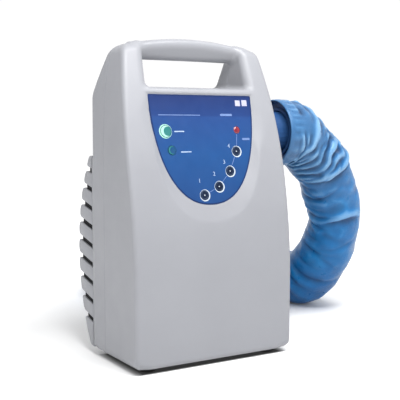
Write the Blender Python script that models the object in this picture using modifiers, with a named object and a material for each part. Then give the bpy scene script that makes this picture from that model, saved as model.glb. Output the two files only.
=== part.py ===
"""Forced-air patient warming blower: a floor-standing cabinet with a leaning
control panel, a carry handle, a rear intake grille, a fan, a heater and a
removable fabric air hose.  Metres, +Z up, front faces -Y."""

import math

import bmesh
import bpy
from mathutils import Matrix, Vector

for old in list(bpy.data.objects):
    bpy.data.objects.remove(old, do_unlink=True)

# ---------------------------------------------------------------- dimensions
HALF_W = 0.12125        # half the cabinet's width below its shoulders
FRONT_Y = -0.0635       # front of the base
REAR_Y = 0.0645         # rear wall
BOTTOM_Z = 0.006        # underside of the cabinet, on its feet
TOP_Z = 0.4322          # crown of the arched top
ARCH = 0.68             # how fast the top falls away from the middle
WALL = 0.003            # moulding thickness
SPLIT_Y = 0.0265        # plane where the front and rear shells meet
GAP = 0.0003            # clearance between touching pieces

VAULT_Y = 0.1143        # rearmost point of the intake grille
VAULT_R = 0.25
VAULT_Z = 0.142
SLOT_COUNT = 9
SLOT_PITCH = 0.0259
SLOT_FIRST_Z = 0.049
SLOT_H = 0.007
SLOT_TILT = math.radians(12)

SILL_Z = 0.3679         # floor of the hand opening at Y = 0
SILL_RISE = 0.0615
TUNNEL_HALF = 0.0792    # half the hand opening's width at Y = 0
TUNNEL_TAPER = 0.123
BAR_FRONT_Y = 0.0045
BAR_REAR_Y = 0.0325
BAR_UNDER_Z = 0.4055

PANEL_TOP = Vector((0.0, -0.018, 0.358))
PANEL_LEAN = math.atan(0.031 / 0.1453)
PANEL_HALF = 0.0795
PANEL_LEN = 0.1486
PANEL_POWER = 2.3
OVERLAY_T = 0.0013
KEYS = {                # (across, down from the panel's top edge, radius)
    "on_key": (-0.0587, 0.0501, 0.0078),
    "standby_key": (-0.0523, 0.0754, 0.0056),
    "temp_key_1": (-0.0102, 0.1361, 0.0062),
    "temp_key_2": (0.0138, 0.1254, 0.0062),
    "temp_key_3": (0.0337, 0.1051, 0.0062),
    "temp_key_4": (0.0474, 0.0781, 0.0062),
}
LENS = (0.0520, 0.0485, 0.0048)

FAN_X, FAN_Z = -0.012, 0.149
FAN_R = 0.064
SPIGOT_Y, SPIGOT_Z = 0.0155, 0.307
SPIGOT_R = 0.030
SPIGOT_END = 0.182
CUFF_X = 0.150
CUFF_R = 0.049
HOSE_R = 0.0415
HOSE_WALL = 0.002
HOSE_FLOOR_Z = 0.0438
LOOP_C = (0.214, 0.362)
LOOP_R = 0.15

# The frame's origin is under the middle of the cabinet, grille and spigot.
ORIGIN_X = -(SPIGOT_END - HALF_W) / 2
ORIGIN_Y = -(VAULT_Y + FRONT_Y) / 2

# --------------------------------------------------------------- collections
scene = bpy.context.scene
PARTS = bpy.data.collections.new("patient_warming_blower")
CUTS = bpy.data.collections.new("cutters")
scene.collection.children.link(PARTS)
scene.collection.children.link(CUTS)


def material(name, colour, roughness, metallic=0.0):
    mat = bpy.data.materials.new(name)
    mat.use_nodes = True
    shader = mat.node_tree.nodes["Principled BSDF"]
    shader.inputs["Base Color"].default_value = (*colour, 1.0)
    shader.inputs["Roughness"].default_value = roughness
    shader.inputs["Metallic"].default_value = metallic
    mat.diffuse_color = (*colour, 1.0)
    return mat


M_SHELL = material("shell_plastic", (0.72, 0.74, 0.76), 0.45)
M_PANEL = material("panel_blue", (0.05, 0.13, 0.40), 0.35)
M_KEY = material("key_teal", (0.10, 0.45, 0.50), 0.4)
M_GREEN = material("key_green", (0.15, 0.65, 0.30), 0.35)
M_WHITE = material("key_ring", (0.75, 0.80, 0.88), 0.4)
M_RED = material("lens_red", (0.75, 0.05, 0.04), 0.2)
M_RUBBER = material("foot_rubber", (0.03, 0.03, 0.03), 0.8)
M_DARK = material("dark_plastic", (0.05, 0.05, 0.06), 0.5)
M_STEEL = material("steel", (0.60, 0.60, 0.62), 0.3, 1.0)
M_BRASS = material("brass", (0.78, 0.60, 0.28), 0.3, 1.0)
M_BOARD = material("board_green", (0.03, 0.22, 0.09), 0.5)
M_DUCT = material("duct_sheet", (0.62, 0.63, 0.65), 0.4, 1.0)
M_FILTER = material("filter_paper", (0.85, 0.84, 0.78), 0.9)
M_FAN = material("fan_plastic", (0.16, 0.17, 0.19), 0.5)
M_HOSE = material("hose_fabric", (0.05, 0.23, 0.58), 0.7)
M_CUFF = material("cuff_blue", (0.02, 0.09, 0.26), 0.45)

root = bpy.data.objects.new("unit", None)
root.location = (ORIGIN_X, ORIGIN_Y, 0.0)
PARTS.objects.link(root)


def add(name, mesh, mat, loc=(0, 0, 0), rot=(0, 0, 0), parent=None, cutter=False):
    obj = bpy.data.objects.new(name, mesh)
    (CUTS if cutter else PARTS).objects.link(obj)
    obj.parent = parent or root
    obj.location = loc
    obj.rotation_euler = rot
    if cutter:
        obj.hide_render = True
        obj.display_type = "WIRE"
    elif mat is not None:
        obj.data.materials.append(mat)
    return obj


def empty(name, loc, rot=(0, 0, 0), parent=None):
    obj = bpy.data.objects.new(name, None)
    PARTS.objects.link(obj)
    obj.parent = parent or root
    obj.location = loc
    obj.rotation_euler = rot
    return obj


def to_mesh(name, bm, smooth=True):
    mesh = bpy.data.meshes.new(name)
    bmesh.ops.recalc_face_normals(bm, faces=bm.faces)
    bm.to_mesh(mesh)
    bm.free()
    if smooth:
        mesh.shade_smooth()
        mesh.set_sharp_from_angle(angle=math.radians(35))
    return mesh


def box_mesh(name, low, high):
    bm = bmesh.new()
    bmesh.ops.create_cube(bm, size=1.0)
    low, high = Vector(low), Vector(high)
    for v in bm.verts:
        v.co = Vector(
            (low[i] + high[i]) / 2 + v.co[i] * (high[i] - low[i]) for i in range(3)
        )
    return to_mesh(name, bm, smooth=False)


def cylinder_mesh(name, radius, depth, segments=20):
    bm = bmesh.new()
    bmesh.ops.create_cone(
        bm, cap_ends=True, segments=segments, radius1=radius, radius2=radius, depth=depth
    )
    return to_mesh(name, bm)


def profile_mesh(name, points, closed):
    """A profile of (radius, height) points for a Screw modifier about Z."""
    bm = bmesh.new()
    verts = [bm.verts.new((r, 0.0, z)) for r, z in points]
    pairs = list(zip(verts, verts[1:]))
    if closed:
        pairs.append((verts[-1], verts[0]))
    for pair in pairs:
        bm.edges.new(pair)
    mesh = bpy.data.meshes.new(name)
    bm.to_mesh(mesh)
    bm.free()
    return mesh


def turned(name, points, mat, closed, steps=20, **place):
    """Outer side listed from top to bottom."""
    obj = add(name, profile_mesh(name, points, closed), mat, **place)
    screw = obj.modifiers.new("turn", "SCREW")
    screw.axis = "Z"
    screw.angle = math.tau
    screw.steps = steps
    screw.render_steps = steps
    screw.use_merge_vertices = True
    screw.merge_threshold = 1e-5
    screw.use_smooth_shade = True
    return obj


def boolean(obj, operation, other):
    mod = obj.modifiers.new(operation.lower() + "_" + other.name, "BOOLEAN")
    mod.operation = operation
    mod.solver = "EXACT"
    mod.object = other
    return mod


def cut(obj, *others):
    for other in others:
        boolean(obj, "DIFFERENCE", other)


def baked(obj):
    """The evaluated mesh of an object, welded, in its own coordinates."""
    bpy.context.view_layer.update()
    graph = bpy.context.evaluated_depsgraph_get()
    mesh = bpy.data.meshes.new_from_object(obj.evaluated_get(graph))
    bm = bmesh.new()
    bm.from_mesh(mesh)
    bmesh.ops.remove_doubles(bm, verts=bm.verts, dist=1e-6)
    bmesh.ops.recalc_face_normals(bm, faces=bm.faces)
    bm.to_mesh(mesh)
    bm.free()
    return mesh


def plate_mesh(name, outline, thickness):
    """A flat outline in X-Y, extruded half its thickness to each side."""
    curve = bpy.data.curves.new(name, "CURVE")
    curve.dimensions = "2D"
    curve.fill_mode = "BOTH"
    curve.extrude = thickness / 2
    spline = curve.splines.new("POLY")
    spline.points.add(len(outline) - 1)
    for point, (x, y) in zip(spline.points, outline):
        point.co = (x, y, 0.0, 1.0)
    spline.use_cyclic_u = True
    guide = bpy.data.objects.new(name + "_outline", curve)
    CUTS.objects.link(guide)
    mesh = baked(guide)
    bpy.data.objects.remove(guide, do_unlink=True)
    mesh.name = name
    return mesh


def joined(name, meshes):
    """Several separate solids in one mesh, for use as one tool."""
    bm = bmesh.new()
    for mesh, matrix in meshes:
        part = bmesh.new()
        part.from_mesh(mesh)
        part.transform(matrix)
        temp = bpy.data.meshes.new("temp")
        part.to_mesh(temp)
        part.free()
        bm.from_mesh(temp)
        bpy.data.meshes.remove(temp)
    return to_mesh(name, bm, smooth=False)


# ------------------------------------------------------------- cabinet shape
def half_width(z, back):
    """The side wall draws in towards the top, earlier at the front (back = 0)."""
    ahead = HALF_W - 0.0134 * max(0.0, (z - 0.246) / 0.16) ** 2.2
    behind = HALF_W + 0.0014 - 0.0125 * max(0.0, (z - 0.357) / 0.063) ** 1.25
    return ahead + (behind - ahead) * back


def front(z):
    t = max(0.0, (z - 0.121) / 0.285)
    return FRONT_Y + 0.059 * t**1.7


def rear(z):
    a, b = REAR_Y, 0.0665 - 0.52 * (z - 0.353)
    return min(a, b)


def crown(u):
    return TOP_Z - ARCH * (0.108 * u) ** 2 - 0.0028 * abs(u) ** 8


def cabinet_mesh(name, inset, cuts, bevel, segments):
    bm = bmesh.new()
    bmesh.ops.create_cube(bm, size=2.0)
    across = [e for e in bm.edges if abs(e.verts[0].co.y - e.verts[1].co.y) < 1e-6]
    bmesh.ops.subdivide_edges(bm, edges=across, cuts=cuts, use_grid_fill=True)
    for v in bm.verts:
        u, w, t = v.co.x, v.co.y, (v.co.z + 1) / 2
        low, high = BOTTOM_Z + inset, crown(u) - inset
        z = low + t * (high - low)
        y0 = front(z) + inset * 1.06
        y1 = rear(z) - inset * (1.12 if z > 0.35 else 1.0)
        back = (w + 1) / 2
        v.co = (u * (half_width(z, back) - inset), y0 + back * (y1 - y0), z)
    guide = add(name + "_guide", to_mesh(name, bm), None, cutter=True)
    mod = guide.modifiers.new("round", "BEVEL")
    mod.width = bevel
    mod.segments = segments
    mod.limit_method = "ANGLE"
    mod.angle_limit = math.radians(40)
    mesh = baked(guide)
    bpy.data.objects.remove(guide, do_unlink=True)
    mesh.name = name
    return mesh


def tunnel_mesh(name, grow):
    """The hand opening: a tapering passage, open at the top for the grip."""
    bm = bmesh.new()
    bmesh.ops.create_cube(bm, size=2.0)
    for v in bm.verts:
        y = -0.08 if v.co.y < 0 else 0.10
        x = TUNNEL_HALF - TUNNEL_TAPER * y + grow
        z = SILL_Z + SILL_RISE * y - grow if v.co.z < 0 else 0.47
        v.co = (math.copysign(x, v.co.x), y, z)
    return to_mesh(name, bm, smooth=False)


def panel_outline(half, length, steps=22):
    """Straight top edge, superellipse below it, as (across, down) points."""
    points = []
    for i in range(steps + 1):
        a = math.pi * i / steps
        c, s = math.cos(a), math.sin(a)
        points.append(
            (
                math.copysign(half * abs(c) ** (2 / PANEL_POWER), c),
                length * max(s, 0.0) ** (2 / PANEL_POWER),
            )
        )
    return points


def recess_mesh(name, grow, depth, lift):
    """The scooped recess of the panel, in the panel's own frame."""
    bm = bmesh.new()
    rings = []
    reach = 0.016
    for h, kx, ks in ((-depth, 1.0, 1.0), (lift, 1.0, 1.0), (reach + lift, 1.21, 1.835)):
        ring = []
        for x, s in panel_outline(PANEL_HALF + grow, PANEL_LEN + grow):
            ring.append(bm.verts.new((x * kx, grow - s * ks, h)))
        rings.append(ring)
    for a, b in zip(rings, rings[1:]):
        for i in range(len(a)):
            j = (i + 1) % len(a)
            bm.faces.new((a[i], a[j], b[j], b[i]))
    bm.faces.new(rings[0])
    bm.faces.new(rings[-1])
    return to_mesh(name, bm, smooth=False)


panel_frame = empty("panel_frame", PANEL_TOP, (math.pi / 2 - PANEL_LEAN, 0, 0))

outer = cabinet_mesh("cabinet_outer", 0.0, 9, 0.0105, 3)
inner = cabinet_mesh("cabinet_inner", WALL, 9, 0.0075, 2)

tunnel = add("tunnel_cut", tunnel_mesh("tunnel_cut", 0.0), None, cutter=True)
tunnel_wall = add("tunnel_wall", tunnel_mesh("tunnel_wall", WALL), None, cutter=True)
recess = add(
    "recess_cut", recess_mesh("recess_cut", 0.0, OVERLAY_T + GAP, 0.0), None,
    parent=panel_frame, cutter=True,
)
recess_wall = add(
    "recess_wall", recess_mesh("recess_wall", WALL, OVERLAY_T + GAP + 0.0028, -0.0028),
    None, parent=panel_frame, cutter=True,
)
cavity = add("cavity", inner, None, cutter=True)
cut(cavity, tunnel_wall, recess_wall)

behind = add(
    "behind_split", box_mesh("behind_split", (-0.3, SPLIT_Y - GAP / 2, -0.1), (0.3, 0.3, 0.6)),
    None, cutter=True,
)
before = add(
    "before_split", box_mesh("before_split", (-0.3, -0.3, -0.1), (0.3, SPLIT_Y + GAP / 2, 0.6)),
    None, cutter=True,
)
spigot_hole = add(
    "spigot_hole", cylinder_mesh("spigot_hole", SPIGOT_R + 0.0009, 0.06, 28), None,
    loc=(0.125, SPIGOT_Y, SPIGOT_Z), rot=(0, math.pi / 2, 0), cutter=True,
)
FEET = {
    "foot_front_left": (-0.094, -0.040),
    "foot_front_right": (0.094, -0.040),
    "foot_rear_left": (-0.094, 0.045),
    "foot_rear_right": (0.094, 0.045),
}
foot_hole = cylinder_mesh("foot_hole", 0.0046, 0.02, 12)
foot_holes = add(
    "foot_holes",
    joined("foot_holes", [(foot_hole, Matrix.Translation((x, y, 0.01))) for x, y in FEET.values()]),
    None, cutter=True,
)
key_holes = add(
    "key_holes",
    joined(
        "key_holes",
        [
            (cylinder_mesh("hole", r + 0.0004, 0.03, 20), Matrix.Translation((x, -s, 0.0)))
            for x, s, r in [*KEYS.values(), LENS]
        ],
    ),
    None, parent=panel_frame, cutter=True,
)

front_shell = add("front_shell", outer, M_SHELL)
cut(front_shell, behind, cavity, tunnel, recess, key_holes, spigot_hole, foot_holes)

intake_cut = add(
    "intake_cut", box_mesh("intake_cut", (-0.104, 0.05, 0.034), (0.104, 0.09, 0.254)),
    None, cutter=True,
)
INLET_X, INLET_Z = -0.062, 0.313
inlet_cut = add(
    "inlet_cut",
    box_mesh("inlet_cut", (INLET_X - 0.0143, 0.05, INLET_Z - 0.0108), (INLET_X + 0.0143, 0.09, INLET_Z + 0.0108)),
    None, cutter=True,
)
SCREWS = {
    "case_screw_1": (-0.1065, 0.330),
    "case_screw_2": (0.1065, 0.330),
    "case_screw_3": (-0.1085, 0.292),
    "case_screw_4": (0.1085, 0.292),
}
screw_holes = add(
    "screw_holes",
    joined(
        "screw_holes",
        [
            (
                cylinder_mesh("hole", 0.0023, 0.03, 12),
                Matrix.Translation((x, REAR_Y, z)) @ Matrix.Rotation(math.pi / 2, 4, "X"),
            )
            for x, z in SCREWS.values()
        ],
    ),
    None, cutter=True,
)
rear_shell = add("rear_shell", outer.copy(), M_SHELL)
cut(
    rear_shell, spigot_hole, foot_holes, intake_cut, inlet_cut, screw_holes, before, cavity, tunnel
)

# ----------------------------------------------------------------- hand grip
def bar_mesh():
    bm = bmesh.new()
    bmesh.ops.create_cube(bm, size=2.0)
    bmesh.ops.subdivide_edges(bm, edges=bm.edges[:], cuts=5, use_grid_fill=True)
    for v in bm.verts:
        u, w, t = v.co.x, (v.co.y + 1) / 2, (v.co.z + 1) / 2
        y = BAR_FRONT_Y + w * (BAR_REAR_Y - BAR_FRONT_Y)
        x = u * (TUNNEL_HALF - TUNNEL_TAPER * y - GAP)
        low, high = BAR_UNDER_Z, TOP_Z - ARCH * x * x - 0.0008
        v.co = (x, y, low + t * (high - low))
    return to_mesh("handle_bar", bm)


handle_bar = add("handle_bar", bar_mesh(), M_SHELL)
rounding = handle_bar.modifiers.new("round", "BEVEL")
rounding.width = 0.0095
rounding.segments = 3
rounding.limit_method = "WEIGHT"
weights = handle_bar.data.attributes.new("bevel_weight_edge", "FLOAT", "EDGE")
for edge in handle_bar.data.edges:
    a, b = (handle_bar.data.vertices[i].co for i in edge.vertices)
    along = abs(a.x - b.x) > 0.01
    on_y = [abs(p.y - BAR_FRONT_Y) < 1e-5 or abs(p.y - BAR_REAR_Y) < 1e-5 for p in (a, b)]
    on_z = [
        abs(p.z - BAR_UNDER_Z) < 1e-5 or abs(p.z - (TOP_Z - ARCH * p.x**2 - 0.0008)) < 1e-5
        for p in (a, b)
    ]
    weights.data[edge.index].value = 1.0 if along and all(on_y) and all(on_z) else 0.0

# ------------------------------------------------------------- intake grille
VAULT_CY = VAULT_Y - VAULT_R


def arc_y(z, radius):
    return VAULT_CY + math.sqrt(max(0.0, radius**2 - (z - VAULT_Z) ** 2))


def arc_points(radius, z0, z1, steps):
    return [
        (arc_y(z0 + (z1 - z0) * i / steps, radius), z0 + (z1 - z0) * i / steps)
        for i in range(steps + 1)
    ]


GRILLE_Y = REAR_Y + GAP


def inner_span(radius):
    half = math.sqrt(radius**2 - (GRILLE_Y - VAULT_CY) ** 2)
    return VAULT_Z - half, VAULT_Z + half


def c_section(radius_out, radius_in, low, high):
    z0, z1 = inner_span(radius_in)
    return (
        [(GRILLE_Y, low), (arc_y(low + 0.006, radius_out) - 0.006, low)]
        + arc_points(radius_out, low + 0.006, high - 0.006, 18)
        + [(arc_y(high - 0.006, radius_out) - 0.006, high), (GRILLE_Y, high)]
        + arc_points(radius_in, z1, z0, 12)
    )


# local x, y, z of an outline become Y, Z and X
ALONG_X = Matrix(((0, 0, 1, 0), (1, 0, 0, 0), (0, 1, 0, 0), (0, 0, 0, 1)))

vault = plate_mesh("louvre_grille", c_section(VAULT_R, VAULT_R - 0.018, 0.010, 0.276), 2 * (HALF_W - 0.0008))
vault.transform(ALONG_X)
grille = add("louvre_grille", vault, M_SHELL)

slots = []
for k in range(SLOT_COUNT):
    z = SLOT_FIRST_Z + SLOT_PITCH * k
    middle = Vector((0.0, 0.090, z + (0.090 - 0.077) * math.tan(SLOT_TILT)))
    slots.append(
        (
            box_mesh("slot", (-0.14, -0.045, -SLOT_H / 2), (0.14, 0.045, SLOT_H / 2)),
            Matrix.Translation(middle) @ Matrix.Rotation(SLOT_TILT, 4, "X"),
        )
    )
slot_cut = add("slot_cut", joined("slot_cut", slots), None, cutter=True)

ribs = []
low, high = 0.0125, 0.2735
end_plate = (
    [(GRILLE_Y, low)] + arc_points(VAULT_R - 0.009, low + 0.012, high - 0.012, 14) + [(GRILLE_Y, high)]
)
mid_rib = c_section(VAULT_R - 0.008, VAULT_R - 0.020, 0.0150, 0.2700)
for x, outline in ((-0.1155, end_plate), (-0.04, mid_rib), (0.04, mid_rib), (0.1155, end_plate)):
    mesh = plate_mesh("rib", outline, 0.003)
    mesh.transform(ALONG_X)
    ribs.append((mesh, Matrix.Translation((x, 0, 0))))
rib_tool = add("rib_tool", joined("rib_tool", ribs), None, cutter=True)
cut(grille, slot_cut)
boolean(grille, "UNION", rib_tool)

# --------------------------------------------------------------------- panel
overlay_outline = [
    (x, -max(s, 0.0004)) for x, s in panel_outline(PANEL_HALF - 0.0005, PANEL_LEN - 0.0006)
]
overlay = add(
    "panel_overlay", plate_mesh("panel_overlay", overlay_outline, OVERLAY_T), M_PANEL,
    loc=(0, 0, -OVERLAY_T / 2), parent=panel_frame,
)
cut(overlay, key_holes)

KEY_MATS = {"on_key": M_GREEN, "standby_key": M_KEY}
SHELF = -(OVERLAY_T + GAP + 0.0028)     # inner face of the recess floor
for name, (x, s, r) in KEYS.items():
    turned(
        name,
        [
            (0.0, 0.0008), (r - 0.0005, 0.0008), (r, 0.0004), (r, SHELF - GAP),
            (r + 0.0016, SHELF - GAP), (r + 0.0016, SHELF - 0.0021), (0.0, SHELF - 0.0021),
        ],
        KEY_MATS.get(name, M_WHITE), False, 18, loc=(x, -s, 0.0), parent=panel_frame,
    )
x, s, r = LENS
turned(
    "alarm_lens",
    [
        (0.0, 0.0010), (r * 0.6, 0.0008), (r, 0.0002), (r, SHELF - GAP),
        (r + 0.0016, SHELF - GAP), (r + 0.0016, SHELF - 0.0021), (0.0, SHELF - 0.0021),
    ],
    M_RED, False, 18, loc=(x, -s, 0.0), parent=panel_frame,
)
add(
    "control_board", box_mesh("control_board", (-0.070, -0.104, -0.0150), (0.038, -0.030, -0.0134)),
    M_BOARD, parent=panel_frame,
)
for name, x, s in (
    ("board_standoff_1", -0.066, 0.034), ("board_standoff_2", 0.034, 0.034),
    ("board_standoff_3", -0.040, 0.098), ("board_standoff_4", 0.018, 0.090),
):
    top, bottom = SHELF - GAP, -0.0134 + GAP
    add(
        name, cylinder_mesh(name, 0.0025, top - bottom, 8), M_BRASS,
        loc=(x, -s, (top + bottom) / 2), parent=panel_frame,
    )

# ---------------------------------------------------------------------- feet
for name, (x, y) in FEET.items():
    turned(
        name,
        [
            (0.0, 0.0125), (0.0042, 0.0125), (0.0042, BOTTOM_Z - GAP), (0.0105, BOTTOM_Z - GAP),
            (0.0115, 0.0015), (0.0105, 0.0), (0.0, 0.0),
        ],
        M_RUBBER, False, 16, loc=(x, y, 0.0),
    )

# -------------------------------------------------------------------- screws
for name, (x, z) in SCREWS.items():
    screw = turned(
        name,
        [
            (0.0, 0.0022), (0.0024, 0.0022), (0.0036, 0.0014), (0.0039, GAP),
            (0.0019, GAP), (0.0019, -0.012), (0.0, -0.0128),
        ],
        M_STEEL, False, 12, loc=(x, REAR_Y, z), rot=(-math.pi / 2, 0, 0),
    )

# --------------------------------------------------------------- mains inlet
inlet = add(
    "mains_inlet",
    box_mesh("mains_inlet", (-0.0138, -0.028, -0.0103), (0.0138, 0.0, 0.0103)),
    M_DARK, loc=(INLET_X, REAR_Y, INLET_Z),
)
inlet_flange = add(
    "inlet_flange",
    box_mesh("inlet_flange", (-0.024, GAP, -0.0125), (0.024, 0.0028, 0.0125)),
    None, loc=(INLET_X, REAR_Y, INLET_Z), cutter=True,
)
inlet_neck = add(
    "inlet_neck", box_mesh("inlet_neck", (-0.0138, -0.004, -0.0103), (0.0138, 0.0015, 0.0103)),
    None, loc=(INLET_X, REAR_Y, INLET_Z), cutter=True,
)
inlet_socket = add(
    "inlet_socket", box_mesh("inlet_socket", (-0.0121, -0.017, -0.0084), (0.0121, 0.01, 0.0084)),
    None, loc=(INLET_X, REAR_Y, INLET_Z), cutter=True,
)
boolean(inlet, "UNION", inlet_neck)
boolean(inlet, "UNION", inlet_flange)
cut(inlet, inlet_socket)
PIN_OUT, PIN_IN = -0.0045, -0.0167
for name, px, pz in (
    ("inlet_pin_line", -0.007, -0.0030), ("inlet_pin_earth", 0.0, 0.0030), ("inlet_pin_neutral", 0.007, -0.0030),
):
    add(
        name, box_mesh(name, (-0.001, PIN_IN, -0.002), (0.001, PIN_OUT, 0.002)), M_BRASS,
        loc=(INLET_X + px, REAR_Y, INLET_Z + pz),
    )

# -------------------------------------------------------------- fan assembly
def scroll(shrink, top):
    """A scroll about the fan's axis with its outlet rising on the right."""
    points = []
    for i in range(31):
        a = math.radians(32 + 328 * i / 30)
        r = 0.073 + 0.025 * i / 30 - shrink
        points.append((r * math.cos(a), r * math.sin(a)))
    points.append((0.098 - shrink, top))
    points.append((0.060 + shrink, top))
    return points


FAN_FRONT, FAN_REAR = -0.034, 0.020
SCROLL_TOP = 0.2520 - FAN_Z
UPRIGHT = (math.pi / 2, 0, 0)
housing = add(
    "volute_housing", plate_mesh("volute_housing", scroll(0.0, SCROLL_TOP), FAN_REAR - FAN_FRONT), M_FAN,
    loc=(FAN_X, (FAN_FRONT + FAN_REAR) / 2, FAN_Z), rot=UPRIGHT,
)
scroll_cut = add(
    "scroll_cut", plate_mesh("scroll_cut", scroll(0.0025, SCROLL_TOP + 0.02), 0.060), None,
    loc=(FAN_X, FAN_FRONT + 0.0025 + 0.030, FAN_Z), rot=UPRIGHT, cutter=True,
)
shaft_hole = add(
    "shaft_hole", cylinder_mesh("shaft_hole", 0.0075, 0.02, 16), None,
    loc=(FAN_X, FAN_FRONT, FAN_Z), rot=UPRIGHT, cutter=True,
)
cut(housing, scroll_cut, shaft_hole)
cover = add(
    "volute_cover", plate_mesh("volute_cover", scroll(0.0, SCROLL_TOP), 0.0025), M_FAN,
    loc=(FAN_X, FAN_REAR + GAP + 0.00125, FAN_Z), rot=UPRIGHT,
)
inlet_eye = add(
    "inlet_eye", cylinder_mesh("inlet_eye", 0.044, 0.02, 32), None,
    loc=(FAN_X, FAN_REAR, FAN_Z), rot=UPRIGHT, cutter=True,
)
cut(cover, inlet_eye)

fan_axis = empty("fan_axis", (FAN_X, 0.0, FAN_Z), (-math.pi / 2, 0, 0))
impeller = turned(
    "impeller",
    [
        (0.011, -0.006), (0.011, -0.0265), (FAN_R, -0.0265), (FAN_R, -0.0285),
        (0.0044, -0.0285), (0.0044, -0.006),
    ],
    M_FAN, True, 32, parent=fan_axis,
)
blade = box_mesh("blade", (-0.0075, -0.0006, -0.0272), (0.0075, 0.0006, 0.0128))
blades = add(
    "blades",
    joined(
        "blades",
        [
            (
                blade,
                Matrix.Rotation(math.tau * i / 18, 4, "Z")
                @ Matrix.Translation((0.055, 0, 0))
                @ Matrix.Rotation(math.radians(38), 4, "Z"),
            )
            for i in range(18)
        ],
    ),
    None, parent=fan_axis, cutter=True,
)
shroud = turned(
    "shroud",
    [(FAN_R, 0.0140), (FAN_R, 0.0122), (0.047, 0.0122), (0.047, 0.0140)],
    None, True, 32, parent=fan_axis, cutter=True,
)
boolean(impeller, "UNION", blades)
boolean(impeller, "UNION", shroud)
turned(
    "motor_shaft",
    [(0.0, -0.002), (0.004, -0.002), (0.004, -0.0558), (0.0, -0.0558)],
    M_STEEL, False, 16, parent=fan_axis,
)
turned(
    "motor_can",
    [(0.0285, -0.0346), (0.030, -0.0360), (0.030, -0.0546), (0.0115, -0.0546), (0.0115, -0.0346)],
    M_STEEL, True, 24, parent=fan_axis,
)
for name, z in (("bearing_rear", -0.0360), ("bearing_front", -0.0480)):
    turned(
        name, [(0.0111, z), (0.0111, z - 0.006), (0.0044, z - 0.006), (0.0044, z)],
        M_STEEL, True, 16, parent=fan_axis,
    )

# -------------------------------------------------------------------- filter
def pleats(count, half, y0, y1, thick):
    top, bottom = [], []
    for i in range(2 * count + 1):
        x = -half + 2 * half * i / (2 * count)
        y = y1 if i % 2 else y0
        top.append((x, y + thick / 2))
        bottom.append((x, y - thick / 2))
    return top + bottom[::-1]


filter_media = add(
    "filter_media", plate_mesh("filter_media", pleats(14, 0.096, 0.031, 0.050, 0.0022), 0.206), M_FILTER,
    loc=(0, 0, 0.144),
)
filter_frame = add(
    "filter_frame", box_mesh("filter_frame", (-0.101, 0.0275, 0.036), (0.101, 0.0535, 0.252)), M_DARK
)
frame_cut = add(
    "frame_cut", box_mesh("frame_cut", (-0.0972, 0.01, 0.0405), (0.0972, 0.07, 0.2475)), None, cutter=True
)
cut(filter_frame, frame_cut)

# -------------------------------------------------------------------- heater
duct = add(
    "heater_duct", box_mesh("heater_duct", (0.044, -0.0140, 0.2535), (0.1095, 0.0500, 0.3430)), M_DUCT
)
duct_cut = add(
    "duct_cut", box_mesh("duct_cut", (0.046, -0.0120, 0.2555), (0.1075, 0.0480, 0.3410)), None, cutter=True
)
duct_in = add(
    "duct_in", box_mesh("duct_in", (0.053, -0.0110, 0.24), (0.084, 0.0170, 0.27)), None, cutter=True
)
duct_out = add(
    "duct_out", cylinder_mesh("duct_out", 0.0265, 0.02, 28), None,
    loc=(0.1085, SPIGOT_Y + 0.0, SPIGOT_Z), rot=(0, math.pi / 2, 0), cutter=True,
)
cut(duct, duct_cut, duct_in, duct_out)


def wire(name, points, radius, resolution, mat, caps=True, radii=None, **place):
    curve = bpy.data.curves.new(name, "CURVE")
    curve.dimensions = "3D"
    curve.bevel_depth = radius
    curve.bevel_resolution = resolution
    curve.use_fill_caps = caps
    spline = curve.splines.new("POLY")
    spline.points.add(len(points) - 1)
    for i, point in enumerate(points):
        spline.points[i].co = (*point, 1.0)
        spline.points[i].radius = radii[i] if radii else 1.0
    obj = bpy.data.objects.new(name, curve)
    PARTS.objects.link(obj)
    obj.parent = place.get("parent", root)
    obj.data.materials.append(mat)
    return obj


coil = []
for i in range(6):
    y = -0.006 + 0.0096 * i
    ends = (0.052, 0.100) if i % 2 == 0 else (0.100, 0.052)
    coil += [(ends[0], y, 0.276), ((ends[0] + ends[1]) / 2, y, 0.284), (ends[1], y, 0.276)]
wire("heater_coil", coil, 0.0014, 2, M_STEEL)
add(
    "thermal_cutout", cylinder_mesh("thermal_cutout", 0.008, 0.006, 16), M_DARK,
    loc=(0.044 - GAP - 0.003, 0.018, 0.300), rot=(0, math.pi / 2, 0),
)
turned(
    "outlet_spigot",
    [
        (SPIGOT_R - 0.0008, SPIGOT_END), (SPIGOT_R, SPIGOT_END - 0.001), (SPIGOT_R, 0.1128),
        (0.0365, 0.1128), (0.0365, 0.1100), (0.0268, 0.1100), (0.0268, SPIGOT_END),
    ],
    M_DARK, True, 28, loc=(0, SPIGOT_Y, SPIGOT_Z), rot=(0, math.pi / 2, 0),
)

# -------------------------------------------------------------- power supply
add("power_board", box_mesh("power_board", (-0.088, -0.046, 0.0200), (0.070, 0.018, 0.0216)), M_BOARD)
add("transformer", box_mesh("transformer", (-0.060, -0.036, 0.0219), (-0.020, 0.008, 0.0520)), M_DARK)
add("heat_sink", box_mesh("heat_sink", (0.010, -0.036, 0.0219), (0.054, 0.006, 0.0460)), M_DUCT)
for name, x in (("board_rail_left", -0.080), ("board_rail_right", 0.062)):
    add(name, box_mesh(name, (x - 0.004, -0.044, 0.0095), (x + 0.004, 0.016, 0.0197)), M_DARK)

# ---------------------------------------------------------------------- hose
hose_axis = empty("hose_axis", (0.0, SPIGOT_Y, SPIGOT_Z))
turned(
    "hose_cuff",
    [
        (0.0338, 0.0300), (0.0345, 0.0290), (0.0345, 0.0080), (CUFF_R, 0.0080), (CUFF_R, 0.0015),
        (CUFF_R - 0.0015, 0.0), (SPIGOT_R + 0.0006, 0.0), (SPIGOT_R + 0.0006, 0.0300),
    ],
    M_CUFF, True, 28, loc=(CUFF_X, 0, 0), rot=(0, math.pi / 2, 0), parent=hose_axis,
)


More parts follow.
